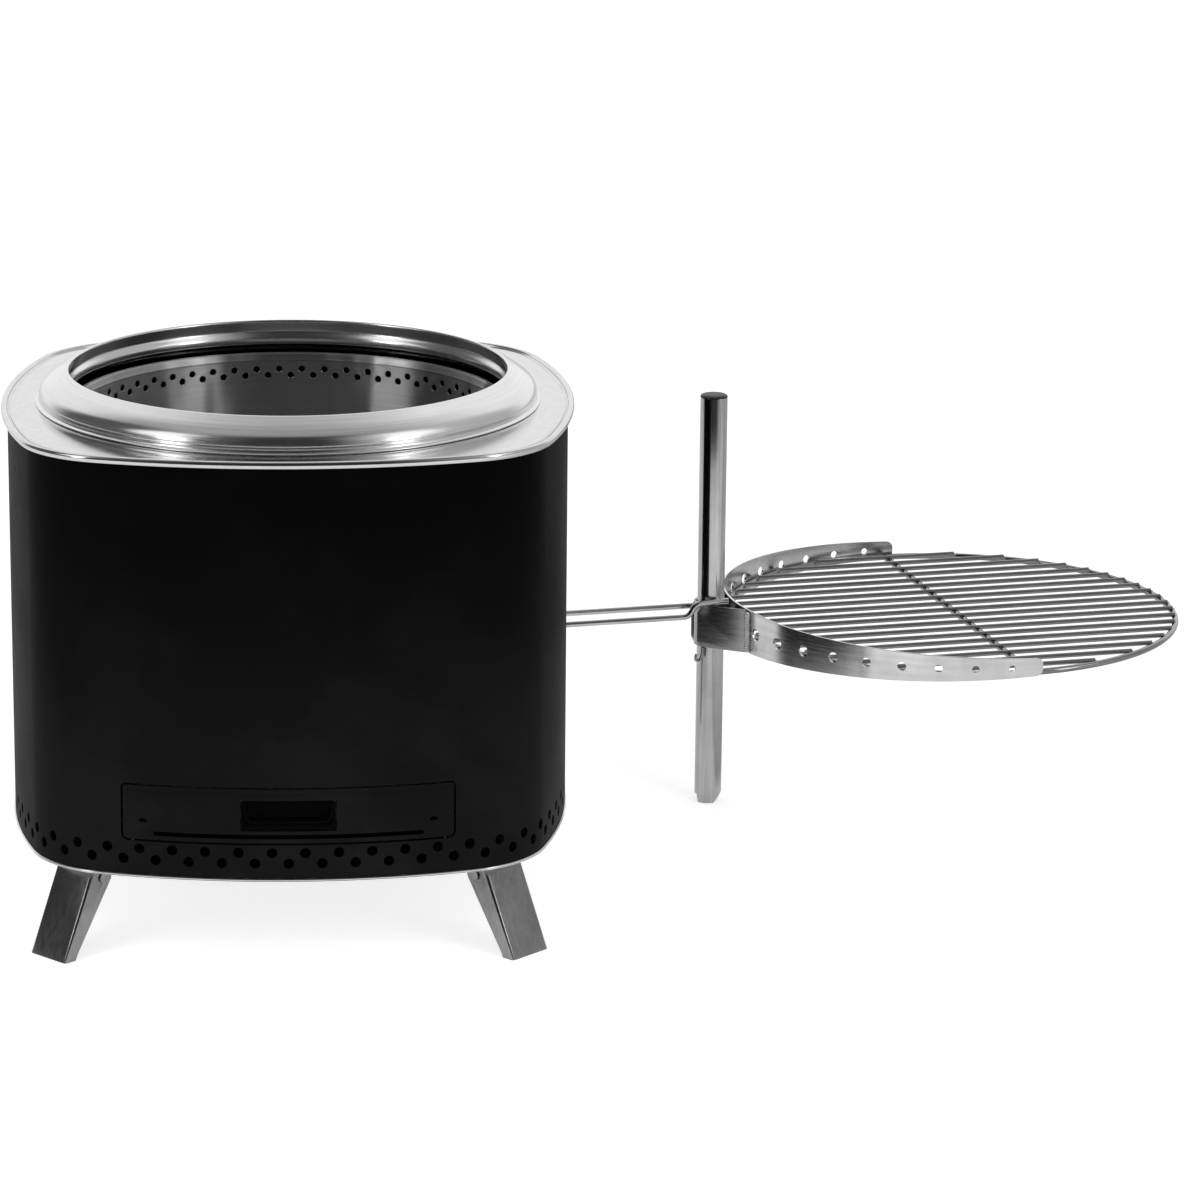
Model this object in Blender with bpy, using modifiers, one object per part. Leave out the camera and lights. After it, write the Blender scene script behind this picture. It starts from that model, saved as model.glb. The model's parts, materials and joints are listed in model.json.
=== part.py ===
"""Portable fire barrel with an ash drawer, folding legs and a swing-out cooking grate.

The barrel is a double-walled drum: a rounded-square outer shell, a round fire
chamber inside it, and a turned flame ring on a flat deck.  Air enters through the
holes at the shell's foot and leaves through the holes under the chamber's lip.
Beside it stands the grill set: a post, a collar that slides and turns on it, and
a welded grate held in a tapered band.

Metres, +Z up.  The barrel's front faces -Y.
"""

import math

import bmesh
import bpy
from mathutils import Matrix, Vector

# Driving dimensions of the barrel
HALF_WIDTH = 0.245
SIDE_ARC_RADIUS = 0.526
CORNER_ARC_RADIUS = 0.094
SHEET = 0.0010
BASE_HEIGHT = 0.0800
DECK_HEIGHT = 0.4460
RIM_HEIGHT = DECK_HEIGHT + 0.0285
OPENING_RADIUS = HALF_WIDTH - 0.0535
CHAMBER_RADIUS = OPENING_RADIUS - 0.0075
CHAMBER_FLOOR = BASE_HEIGHT + 0.0870

# Where the outline's arcs meet: centre of the corner arcs, and the corners' reach
SIDE_INSET = HALF_WIDTH - SIDE_ARC_RADIUS
ARC_STEP = SIDE_ARC_RADIUS - CORNER_ARC_RADIUS
CORNER_CENTRE = (SIDE_INSET + math.sqrt(2 * ARC_STEP ** 2 - SIDE_INSET ** 2)) / 2
CORNER_REACH = CORNER_CENTRE * math.sqrt(2) + CORNER_ARC_RADIUS

# Clearances
TOUCH_GAP = 0.0003
DRAWER_CLEARANCE = 0.0008
COLLAR_CLEARANCE = 0.0009
GRATE_CLEARANCE = 0.0008
PIN_CLEARANCE = 0.0004

# Base pan and the shell that stands on it
PAN_SHEET = 0.0012
PAN_HEM_RADIUS = 0.0026
PAN_HEM_REACH = 0.0012
PAN_PLATE_Z = BASE_HEIGHT + 0.0020
PAN_TOP = PAN_PLATE_Z + PAN_SHEET
SHELL_BOTTOM = BASE_HEIGHT + 2 * PAN_HEM_RADIUS + TOUCH_GAP
SHELL_TOP = DECK_HEIGHT - 0.0016 - TOUCH_GAP

# Vent holes round the shell's foot
VENT_COUNT = 58
VENT_RADIUS = 0.0045
VENT_LOWER_Z = BASE_HEIGHT + 0.0162
VENT_UPPER_Z = BASE_HEIGHT + 0.0257

# Deck
DECK_SHEET = 0.0012
DECK_OPENING = OPENING_RADIUS + 0.0135
HEM_TOP = DECK_HEIGHT + 0.0020
HEM_BOTTOM = DECK_HEIGHT - 0.0049

# Flame ring
RING_SHEET = 0.0012
RING_FOOT_RADIUS = OPENING_RADIUS + 0.0290
RING_SHOULDER_RADIUS = OPENING_RADIUS + 0.0262
RING_STEPS = 48

# Fire chamber
CHAMBER_STEPS = 56
CHAMBER_LIP_TOP = DECK_HEIGHT - 0.0008
CHAMBER_LIP_DEPTH = 0.0062
AIR_HOLE_RADIUS = 0.0030
AIR_UPPER_Z = CHAMBER_LIP_TOP - 0.0146
AIR_LOWER_Z = CHAMBER_LIP_TOP - 0.0205
LEDGE_WIDTH = 0.0200
FIRE_GRATE_THICKNESS = 0.0020
GRATE_SLOT_ROWS = 7

# Ash drawer
DRAWER_HALF_WIDTH = HALF_WIDTH - 0.1045
DRAWER_BOTTOM = BASE_HEIGHT + 0.0343
DRAWER_TOP = BASE_HEIGHT + 0.0818
DRAWER_PANEL = 0.0012
TRAY_HALF_WIDTH = DRAWER_HALF_WIDTH - 0.0085
TRAY_BACK = HALF_WIDTH - 0.0950
TRAY_BOTTOM = DRAWER_BOTTOM + 0.0025
TRAY_TOP = DRAWER_TOP - 0.0138
SCOOP_HALF_WIDTH = 0.0410
SCOOP_BOTTOM = DRAWER_BOTTOM + 0.0104
SCOOP_TOP = DRAWER_TOP - 0.0097
SCOOP_DEPTH = 0.0200
SLOT_HALF_LENGTH = DRAWER_HALF_WIDTH - 0.0255
SLOT_HEIGHT = 0.0038
SLOT_Z = DRAWER_BOTTOM + 0.0056
PIP_RADIUS = 0.0036
PIP_X = DRAWER_HALF_WIDTH - 0.0170
PIP_Z = DRAWER_BOTTOM + 0.0154

# Drawer rails
RAIL_SHEET = 0.0015
RAIL_SHELF = 0.0160
RAIL_FOOT = 0.0140
RAIL_FRONT_ROOM = 0.0440
RAIL_LENGTH = HALF_WIDTH + TRAY_BACK - RAIL_FRONT_ROOM - 0.0010

# Legs, measured along the barrel's diagonal
LEG_WIDTH = 0.0450
LEG_SHEET = 0.0020
LEG_FOOT_REACH = CORNER_REACH + 0.0151
LEG_TOP_REACH = CORNER_REACH - 0.0211
LEG_TOP_Z = BASE_HEIGHT + 0.0005
LEG_FOOT_WIDTH = 0.0128
LEG_PIVOT_REACH = CORNER_REACH - 0.0299
LEG_PIVOT_Z = BASE_HEIGHT - 0.0125
LEG_PIVOT_ROUND = 0.0105
LEG_PIN_RADIUS = 0.0025

# Grill post
POST_X = HALF_WIDTH + 0.1470
POST_Y = HALF_WIDTH - 0.0100
POST_RADIUS = 0.0127
POST_WALL = 0.0016
POST_HEIGHT = 0.3950
CATCH_HOLE_RADIUS = 0.0026
CATCH_HOLE_PITCH = 0.0455
CATCH_HOLE_TOP = 0.2720
CATCH_HOLE_COUNT = 5

# Grill arm, turned about the post by ARM_TURN
ARM_TURN = math.radians(12.4)
STRIP_HEIGHT = 0.0410
STRIP_MID_Z = 0.1750
STRIP_SHEET = 0.0020
COLLAR_WALL = 0.0020
GRATE_RADIUS = 0.2155
GRATE_CENTRE = GRATE_RADIUS + 0.0235
WING_SPREAD = 0.0400
WELD_RADIUS = 0.0022

# Arc band
BAND_HALF_ANGLE = math.radians(93.5)
BAND_FULL_ANGLE = math.radians(13.0)
BAND_END_HEIGHT = 0.0165
BAND_HOLES = 9
BAND_FIRST_HOLE = math.radians(14.5)
BAND_HOLE_PITCH = math.radians(8.9)
BAND_HOLE_LARGE = 0.0060
BAND_HOLE_SMALL = 0.0031

# Grate
RING_WIRE = 0.0030
BAR_WIRE = 0.0023
BAR_COUNT = 19
BAR_PITCH = 0.0220
BAR_Z = STRIP_MID_Z - 0.0030
WELD_SINK = 0.0009

# Handle
HANDLE_REACH = 0.1800
HANDLE_HALF_WIDTH = 0.0190
HANDLE_WIRE = 0.0028
HANDLE_CORNER = 0.0065
HANDLE_Z = STRIP_MID_Z + 0.0115


# Scene and materials


def clear_scene():
    for obj in list(bpy.data.objects):
        bpy.data.objects.remove(obj, do_unlink=True)
    for coll in list(bpy.data.collections):
        bpy.data.collections.remove(coll)


def make_collection(name):
    coll = bpy.data.collections.new(name)
    bpy.context.scene.collection.children.link(coll)
    return coll


def make_material(name, colour, roughness, metallic):
    mat = bpy.data.materials.new(name)
    mat.use_nodes = True
    shader = mat.node_tree.nodes["Principled BSDF"]
    shader.inputs["Base Color"].default_value = (*colour, 1.0)
    shader.inputs["Roughness"].default_value = roughness
    shader.inputs["Metallic"].default_value = metallic
    return mat


def make_empty(name, location, parent=None, turn=0.0):
    empty = bpy.data.objects.new(name, None)
    empty.empty_display_size = 0.05
    empty.location = location
    empty.rotation_euler = (0, 0, turn)
    empty.parent = parent
    PARTS.objects.link(empty)
    return empty


def add_part(name, mesh, material, parent):
    obj = bpy.data.objects.new(name, mesh)
    obj.parent = parent
    obj.data.materials.clear()
    obj.data.materials.append(material)
    PARTS.objects.link(obj)
    return obj


def add_cutter(name, mesh, parent):
    obj = bpy.data.objects.new(name, mesh)
    obj.parent = parent
    obj.hide_render = True
    obj.display_type = "WIRE"
    CUTTERS.objects.link(obj)
    return obj


# Shape helpers


def mesh_from_bmesh(name, bm):
    mesh = bpy.data.meshes.new(name)
    bmesh.ops.recalc_face_normals(bm, faces=bm.faces)
    bm.to_mesh(mesh)
    bm.free()
    return mesh


def solidify(obj, thickness, offset):
    mod = obj.modifiers.new("sheet", "SOLIDIFY")
    mod.thickness = thickness
    mod.offset = offset
    mod.use_even_offset = True


def boolean(obj, cutter, operation="DIFFERENCE"):
    mod = obj.modifiers.new(operation.lower(), "BOOLEAN")
    mod.operation = operation
    mod.solver = "EXACT"
    mod.object = cutter


def smooth(obj, angle=35):
    obj.data.shade_smooth()
    obj.data.set_sharp_from_angle(angle=math.radians(angle))


def turned_mesh(name, profile):
    """Profile of (radius, height) points at +X, for a Screw modifier."""
    bm = bmesh.new()
    verts = [bm.verts.new((radius, 0, height)) for radius, height in profile]
    for first, second in zip(verts, verts[1:]):
        bm.edges.new((first, second))
    mesh = bpy.data.meshes.new(name)
    bm.to_mesh(mesh)
    bm.free()
    return mesh


def screw(obj, steps):
    mod = obj.modifiers.new("turn", "SCREW")
    mod.steps = steps
    mod.render_steps = steps
    mod.use_merge_vertices = True
    mod.merge_threshold = 0.00001
    mod.use_normal_calculate = False
    mod.use_smooth_shade = True


def flat_curve(name, outlines, thickness):
    """Flat plate from closed outlines of (x, y) points, holes included."""
    curve = bpy.data.curves.new(name, "CURVE")
    curve.dimensions = "2D"
    curve.fill_mode = "BOTH"
    curve.extrude = thickness / 2
    for outline in outlines:
        spline = curve.splines.new("POLY")
        spline.points.add(len(outline) - 1)
        for point, (x, y) in zip(spline.points, outline):
            point.co = (x, y, 0, 1)
        spline.use_cyclic_u = True
    return curve


def wire_curve(name, points, radius, resolution=2, cyclic=False):
    curve = bpy.data.curves.new(name, "CURVE")
    curve.dimensions = "3D"
    curve.bevel_depth = radius
    curve.bevel_resolution = resolution
    curve.use_fill_caps = not cyclic
    spline = curve.splines.new("POLY")
    spline.points.add(len(points) - 1)
    for point, co in zip(spline.points, points):
        point.co = (*co, 1)
    spline.use_cyclic_u = cyclic
    return curve


def curve_to_mesh(name, curve, matrix=None):
    """A closed mesh from a curve, with its loose caps welded."""
    holder = bpy.data.objects.new(name, curve)
    bpy.context.scene.collection.objects.link(holder)
    bpy.context.view_layer.update()
    graph = bpy.context.evaluated_depsgraph_get()
    mesh = bpy.data.meshes.new_from_object(holder.evaluated_get(graph))
    bpy.data.objects.remove(holder, do_unlink=True)
    bm = bmesh.new()
    bm.from_mesh(mesh)
    bpy.data.meshes.remove(mesh)
    bmesh.ops.remove_doubles(bm, verts=bm.verts, dist=0.00001)
    if matrix is not None:
        bm.transform(matrix)
    return mesh_from_bmesh(name, bm)


def prism_mesh(name, outline, length, matrix=None):
    """Closed solid from an outline, centred on its plane."""
    return curve_to_mesh(name, flat_curve(name, [outline], length), matrix)


def circle_points(radius, count, start=0.0):
    step = 2 * math.pi / count
    return [(radius * math.cos(start + i * step), radius * math.sin(start + i * step))
            for i in range(count)]


def arc_points(centre, radius, start, end, count):
    step = (end - start) / (count - 1)
    return [(centre[0] + radius * math.cos(start + i * step),
             centre[1] + radius * math.sin(start + i * step)) for i in range(count)]


def rounded_rectangle(x0, x1, y0, y1, radius, count=4):
    quarter = math.pi / 2
    corners = [(x1 - radius, y1 - radius, 0), (x0 + radius, y1 - radius, 1),
               (x0 + radius, y0 + radius, 2), (x1 - radius, y0 + radius, 3)]
    points = []
    for x, y, turn in corners:
        points += arc_points((x, y), radius, turn * quarter, (turn + 1) * quarter, count)
    return points


def add_rod(bm, radius, start, end, sides):
    """Adds a closed cylinder between two points to a bmesh."""
    start, end = Vector(start), Vector(end)
    axis = end - start
    turn = axis.to_track_quat("Z", "Y").to_matrix().to_4x4()
    place = Matrix.Translation((start + end) / 2) @ turn
    bmesh.ops.create_cone(bm, cap_ends=True, segments=sides, radius1=radius,
                          radius2=radius, depth=axis.length, matrix=place)


# The barrel's outline: four wide side arcs joined by four corner arcs, all tangent


def outline_half_angle():
    """Half the angle of a side arc."""
    return math.atan2(CORNER_CENTRE, CORNER_CENTRE - SIDE_INSET)


def outline_arcs():
    """The outline's eight arcs: centre, radius, start and end angle, from the front."""
    half = outline_half_angle()
    arcs = []
    for quarter in range(4):
        turn = quarter * math.pi / 2 - math.pi / 2
        side = (SIDE_INSET * math.cos(turn), SIDE_INSET * math.sin(turn))
        arcs.append((side, SIDE_ARC_RADIUS, turn - half, turn + half))
        diagonal = turn + math.pi / 4
        reach = CORNER_CENTRE * math.sqrt(2)
        corner = (reach * math.cos(diagonal), reach * math.sin(diagonal))
        arcs.append((corner, CORNER_ARC_RADIUS, turn + half, turn + math.pi / 2 - half))
    return arcs


def outline_loop(offset=0.0, per_arc=6):
    """Points of the whole outline, moved out by offset."""
    points = []
    for centre, radius, start, end in outline_arcs():
        points += arc_points(centre, radius + offset, start, end, per_arc + 1)[:-1]
    return points


def outline_at(distance):
    """Point and outward angle at a distance along the outline from the front centre."""
    arcs = outline_arcs()
    total = sum(radius * (end - start) for _, radius, start, end in arcs)
    distance = (distance + arcs[0][1] * (arcs[0][3] - arcs[0][2]) / 2) % total
    for centre, radius, start, end in arcs:
        length = radius * (end - start)
        if distance <= length:
            break
        distance -= length
    angle = start + distance / radius
    return (centre[0] + radius * math.cos(angle), centre[1] + radius * math.sin(angle)), angle


def outline_length():
    return sum(radius * (end - start) for _, radius, start, end in outline_arcs())


def wall_mesh(name, points, bottom, top, closed=True):
    """Open upright wall over a line of plan points."""
    bm = bmesh.new()
    low = [bm.verts.new((x, y, bottom)) for x, y in points]
    edges = [bm.edges.new(pair) for pair in zip(low, low[1:])]
    if closed:
        edges.append(bm.edges.new((low[-1], low[0])))
    raised = bmesh.ops.extrude_edge_only(bm, edges=edges)["geom"]
    verts = [item for item in raised if isinstance(item, bmesh.types.BMVert)]
    bmesh.ops.translate(bm, verts=verts, vec=(0, 0, top - bottom))
    return mesh_from_bmesh(name, bm)


def hem_mesh(name, profile):
    """Closed hem round the outline, from a closed profile of (offset, height) points."""
    bm = bmesh.new()
    loops = [[bm.verts.new((x, y, height)) for x, y in outline_loop(offset)]
             for offset, height in profile]
    for loop, following in zip(loops, loops[1:] + loops[:1]):
        for i in range(len(loop)):
            j = (i + 1) % len(loop)
            bm.faces.new((loop[i], loop[j], following[j], following[i]))
    return mesh_from_bmesh(name, bm)


# Barrel


def build_shell(root, finish):
    mesh = wall_mesh("outer_shell", outline_loop(), SHELL_BOTTOM, SHELL_TOP)
    shell = add_part("outer_shell", mesh, finish, root)
    solidify(shell, SHEET, -1)
    boolean(shell, add_cutter("vent_cutter", vent_mesh(), root))
    boolean(shell, add_cutter("drawer_cutter", drawer_window(DRAWER_CLEARANCE), root))
    smooth(shell)


def vent_mesh():
    bm = bmesh.new()
    pitch = outline_length() / VENT_COUNT
    for row, height in enumerate((VENT_LOWER_Z, VENT_UPPER_Z)):
        for i in range(VENT_COUNT):
            (x, y), angle = outline_at((i + row / 2) * pitch)
            out = Vector((math.cos(angle), math.sin(angle), 0)) * 0.004
            middle = Vector((x, y, height))
            add_rod(bm, VENT_RADIUS, middle - out, middle + out, 8)
    return mesh_from_bmesh("vent_cutter", bm)


def drawer_window(clearance, depth=0.080):
    """Rounded block through the front, the size of the drawer panel plus a clearance."""
    wide = DRAWER_HALF_WIDTH + clearance
    outline = rounded_rectangle(-wide, wide, DRAWER_BOTTOM - clearance,
                                DRAWER_TOP + clearance, 0.0055 + clearance)
    place = Matrix.Translation((0, -HALF_WIDTH, 0)) @ Matrix.Rotation(math.pi / 2, 4, "X")
    return prism_mesh("drawer_cutter", outline, depth, place)


def build_base(root, finish):
    centre = PAN_HEM_REACH - PAN_HEM_RADIUS
    radius = PAN_HEM_RADIUS / math.cos(math.pi / 8)
    profile = [(centre + x, BASE_HEIGHT + PAN_HEM_RADIUS + z)
               for x, z in circle_points(radius, 8, math.pi / 8)]
    pan = add_part("base_pan", hem_mesh("base_pan", profile), finish, root)
    plate = prism_mesh("pan_plate", outline_loop(centre), PAN_SHEET)
    joiner = add_cutter("pan_plate", plate, root)
    joiner.location.z = PAN_PLATE_Z + PAN_SHEET / 2
    boolean(pan, joiner, "UNION")
    smooth(pan)


def build_deck(root, finish):
    """Flat deck inside a raised hem that is folded down over the shell."""
    top, low, under = HEM_TOP, HEM_BOTTOM, DECK_HEIGHT - 0.0016
    profile = [(0.0042, low), (0.0055, low + 0.0014), (0.0051, low + 0.0028),
               (0.0039, low + 0.0034), (0.0047, low + 0.0046), (0.0041, top - 0.0005),
               (0.0022, top), (0.0004, top - 0.0006), (-0.0020, top - 0.0014),
               (-0.0034, top - 0.0013), (-0.0050, top - 0.0022), (-0.0050, under),
               (0.0004, under), (0.0004, low)]
    deck = add_part("top_deck", hem_mesh("top_deck", profile), finish, root)
    hole = circle_points(DECK_OPENING, RING_STEPS)
    plate = flat_curve("deck_plate", [outline_loop(-0.0032), hole], DECK_SHEET)
    joiner = add_cutter("deck_plate", curve_to_mesh("deck_plate", plate), root)
    joiner.location.z = DECK_HEIGHT - DECK_SHEET / 2
    boolean(deck, joiner, "UNION")
    smooth(deck)


def build_flame_ring(root, finish):
    foot = DECK_HEIGHT + TOUCH_GAP + RING_SHEET / 2
    rim = RIM_HEIGHT - RING_SHEET / 2
    inner = OPENING_RADIUS + RING_SHEET / 2
    profile = [(inner + 0.0010, rim - 0.0230), (inner - 0.0022, rim - 0.0200),
               (inner - 0.0022, rim - 0.0156), (inner + 0.0014, rim - 0.0108),
               (inner, rim - 0.0008), (inner + 0.0020, rim),
               (RING_SHOULDER_RADIUS - 0.0047, rim - 0.0131),
               (RING_SHOULDER_RADIUS - 0.0005, rim - 0.0169),
               (RING_SHOULDER_RADIUS, foot + 0.0024), (RING_FOOT_RADIUS, foot)]
    ring = add_part("flame_ring", turned_mesh("flame_ring", profile), finish, root)
    screw(ring, RING_STEPS)
    solidify(ring, RING_SHEET, 0)
    smooth(ring, 40)


def build_chamber(root, finish):
    lip = CHAMBER_LIP_TOP - SHEET / 2
    ledge = CHAMBER_FLOOR + SHEET / 2
    profile = [(CHAMBER_RADIUS + 0.0075, lip - CHAMBER_LIP_DEPTH), (CHAMBER_RADIUS + 0.0060, lip),
               (CHAMBER_RADIUS + 0.0022, lip), (CHAMBER_RADIUS, lip - 0.0055),
               (CHAMBER_RADIUS, ledge), (CHAMBER_RADIUS - LEDGE_WIDTH, ledge)]
    mesh = turned_mesh("fire_chamber", list(reversed(profile)))
    chamber = add_part("fire_chamber", mesh, finish, root)
    screw(chamber, CHAMBER_STEPS)
    solidify(chamber, SHEET, 0)
    boolean(chamber, add_cutter("air_cutter", air_hole_mesh(), root))
    smooth(chamber)


def air_hole_mesh():
    bm = bmesh.new()
    step = 2 * math.pi / CHAMBER_STEPS
    for row, height in enumerate((AIR_UPPER_Z, AIR_LOWER_Z)):
        for i in range(CHAMBER_STEPS):
            angle = (i + 0.5 + row / 2) * step
            out = Vector((math.cos(angle), math.sin(angle), 0))
            low = out * (CHAMBER_RADIUS - 0.003)
            high = out * (CHAMBER_RADIUS + 0.003)
            low.z = high.z = height
            add_rod(bm, AIR_HOLE_RADIUS, low, high, 6)
    return mesh_from_bmesh("air_cutter", bm)


def build_bulkhead(root, finish):
    outlines = [outline_loop(-SHEET - 0.0005, 3)]
    outlines.append(circle_points(CHAMBER_RADIUS - LEDGE_WIDTH - 0.004, 24))
    for corner in range(4):
        for step in (-1, 0, 1):
            angle = math.pi / 4 + corner * math.pi / 2 + step * math.radians(10)
            reach = CORNER_REACH - 0.0509
            centre = (reach * math.cos(angle), reach * math.sin(angle))
            outlines.append([(centre[0] + x, centre[1] + y) for x, y in circle_points(0.009, 6)])
    plate = flat_curve("bulkhead", outlines, SHEET)
    bulkhead = add_part("bulkhead", curve_to_mesh("bulkhead", plate), finish, root)
    bulkhead.location.z = CHAMBER_FLOOR - TOUCH_GAP - SHEET / 2


def build_fire_grate(root, finish):
    radius = CHAMBER_RADIUS - SHEET / 2 - 0.0012
    outlines = [circle_points(radius, 32)]
    pitch = 2 * radius / (GRATE_SLOT_ROWS + 1.25)
    for row in range(GRATE_SLOT_ROWS):
        y = (row - (GRATE_SLOT_ROWS - 1) / 2) * pitch
        reach = math.sqrt((radius - 0.022) ** 2 - y ** 2)
        outlines.append(rounded_rectangle(-reach, reach, y - 0.006, y + 0.006, 0.0055, 2))
    plate = flat_curve("fire_grate", outlines, FIRE_GRATE_THICKNESS)
    grate = add_part("fire_grate", curve_to_mesh("fire_grate", plate), finish, root)
    grate.location.z = CHAMBER_FLOOR + SHEET + TOUCH_GAP + FIRE_GRATE_THICKNESS / 2


# Ash drawer


def front_arc(offset, half_width, count):
    """Points along the front side arc between two x values, left to right."""
    radius = SIDE_ARC_RADIUS + offset
    half = math.asin(half_width / radius)
    middle = -math.pi / 2
    return arc_points((0, -SIDE_INSET), radius, middle - half, middle + half, count)


def build_drawer(parent, finish, tray_finish):
    mesh = wall_mesh("drawer_front", front_arc(0, DRAWER_HALF_WIDTH + 0.010, 16),
                     DRAWER_BOTTOM - 0.01, DRAWER_TOP + 0.01, closed=False)
    front = add_part("drawer_front", mesh, finish, parent)
    solidify(front, DRAWER_PANEL, drawer_side(mesh))
    boolean(front, add_cutter("drawer_trim", drawer_window(0.0), parent), "INTERSECT")
    for name, outline in drawer_openings():
        place = Matrix.Translation((0, -HALF_WIDTH, 0)) @ Matrix.Rotation(math.pi / 2, 4, "X")
        boolean(front, add_cutter(name, prism_mesh(name, outline, 0.060, place), parent))
    smooth(front)
    build_scoop(parent, finish)
    build_tray(parent, finish, tray_finish)


def drawer_side(mesh):
    """Solidify offset that thickens the wall away from the outside of the drum."""
    mesh.update()
    return -1 if mesh.polygons[len(mesh.polygons) // 2].normal.y < 0 else 1


def drawer_openings():
    wide = SCOOP_HALF_WIDTH
    scoop = rounded_rectangle(-wide, wide, SCOOP_BOTTOM, SCOOP_TOP, 0.003, 3)
    half = SLOT_HEIGHT / 2
    slot = rounded_rectangle(-SLOT_HALF_LENGTH, SLOT_HALF_LENGTH, SLOT_Z - half,
                             SLOT_Z + half, half * 0.98, 4)
    pips = [(f"pip_cutter_{side}", arc_points((x, PIP_Z), PIP_RADIUS, 0, math.pi, 7))
            for side, x in (("left", -PIP_X), ("right", PIP_X))]
    return [("scoop_cutter", scoop), ("slot_cutter", slot)] + pips


def build_scoop(parent, finish):
    """Finger pocket: a tapered box open to the front, its mouth behind the panel."""
    mouth = -HALF_WIDTH + DRAWER_PANEL + TOUCH_GAP + 0.0016
    bm = bmesh.new()
    bmesh.ops.create_cube(bm, size=1)
    height = SCOOP_TOP - SCOOP_BOTTOM - 2 * SHEET - 0.0010
    bmesh.ops.scale(bm, verts=bm.verts, vec=(2 * (SCOOP_HALF_WIDTH - SHEET), SCOOP_DEPTH, height))
    back = [v for v in bm.verts if v.co.y > 0]
    bmesh.ops.scale(bm, verts=back, vec=(0.84, 1, 0.72))
    bmesh.ops.translate(bm, verts=back, vec=(0, 0, 0.0016))
    front = [f for f in bm.faces if f.normal.y < -0.5]
    bmesh.ops.delete(bm, geom=front, context="FACES_ONLY")
    scoop = add_part("drawer_scoop", mesh_from_bmesh("drawer_scoop", bm), finish, parent)
    scoop.location = (0, mouth + SCOOP_DEPTH / 2, (SCOOP_TOP + SCOOP_BOTTOM) / 2)
    solidify(scoop, SHEET, 1)


def build_tray(parent, finish, tray_finish):
    """Ash tray: floor, sides and back folded from one blank, and a curved front strip."""
    outer = DRAWER_PANEL + TOUCH_GAP
    strip = wall_mesh("tray_front", front_arc(-outer, TRAY_HALF_WIDTH, 11), TRAY_BOTTOM, TRAY_TOP,
                      closed=False)
    front = add_part("tray_front", strip, finish, parent)
    solidify(front, SHEET, drawer_side(strip))
    room = 0.0015
    pocket = rounded_rectangle(-SCOOP_HALF_WIDTH - room, SCOOP_HALF_WIDTH + room,
                               SCOOP_BOTTOM - room, SCOOP_TOP + 0.010, 0.001, 2)
    place = Matrix.Translation((0, -HALF_WIDTH, 0)) @ Matrix.Rotation(math.pi / 2, 4, "X")
    boolean(front, add_cutter("pocket_cutter", prism_mesh("pocket_cutter", pocket, 0.060, place), parent))
    line = front_arc(-outer - SHEET - TOUCH_GAP, TRAY_HALF_WIDTH, 11)
    plan = line + [(TRAY_HALF_WIDTH, TRAY_BACK), (-TRAY_HALF_WIDTH, TRAY_BACK)]
    bm = bmesh.new()
    floor = bm.faces.new([bm.verts.new((x, y, TRAY_BOTTOM)) for x, y in plan])
    folds = [edge for edge in floor.edges if edge.calc_length() > TRAY_HALF_WIDTH]
    raised = bmesh.ops.extrude_edge_only(bm, edges=folds)["geom"]
    verts = [item for item in raised if isinstance(item, bmesh.types.BMVert)]
    bmesh.ops.translate(bm, verts=verts, vec=(0, 0, TRAY_TOP - TRAY_BOTTOM))
    bmesh.ops.recalc_face_normals(bm, faces=bm.faces)
    floor = next(face for face in bm.faces if abs(face.normal.z) > 0.9)
    if floor.normal.z > 0:
        bmesh.ops.reverse_faces(bm, faces=bm.faces)
    tray = add_part("drawer_pan", mesh_from_bmesh("drawer_pan", bm), tray_finish, parent)
    solidify(tray, SHEET, -1)


def build_rails(root, finish):
    """Rails folded from sheet: a foot on the base, a wall, and a shelf under the tray."""
    foot = PAN_TOP + TOUCH_GAP
    shelf = TRAY_BOTTOM - DRAWER_CLEARANCE
    inner = TRAY_HALF_WIDTH + DRAWER_CLEARANCE
    outer = inner + RAIL_SHEET
    outline = [(inner - RAIL_SHELF, shelf - RAIL_SHEET), (inner, shelf - RAIL_SHEET),
               (inner, foot + RAIL_SHEET), (inner - RAIL_FOOT, foot + RAIL_SHEET),
               (inner - RAIL_FOOT, foot), (outer, foot), (outer, shelf + RAIL_SHELF),
               (inner, shelf + RAIL_SHELF), (inner, shelf), (inner - RAIL_SHELF, shelf)]
    turn = Matrix.Rotation(math.pi / 2, 4, "X")
    for name, side in (("drawer_rail_left", -1), ("drawer_rail_right", 1)):
        shape = [(side * x, z) for x, z in outline]
        rail = add_part(name, prism_mesh(name, shape, RAIL_LENGTH, turn), finish, root)
        rail.location.y = -HALF_WIDTH + RAIL_FRONT_ROOM + RAIL_LENGTH / 2


# Legs


def leg_outline():
    """Side view of a leg: (reach along the diagonal, height), about the pivot."""
    pivot = (LEG_PIVOT_REACH, LEG_PIVOT_Z)
    top = [(LEG_TOP_REACH, LEG_TOP_Z)]
    round_top = arc_points(pivot, LEG_PIVOT_ROUND, math.radians(80), math.radians(195), 6)
    foot = [(LEG_FOOT_REACH - LEG_FOOT_WIDTH - 0.0016, 0.0040),
            (LEG_FOOT_REACH - LEG_FOOT_WIDTH, 0.0), (LEG_FOOT_REACH, 0.0)]
    return [(x - pivot[0], z - pivot[1]) for x, z in top + round_top + foot]


def leg_slope():
    return math.atan2(LEG_FOOT_REACH - LEG_TOP_REACH, LEG_TOP_Z)


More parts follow.
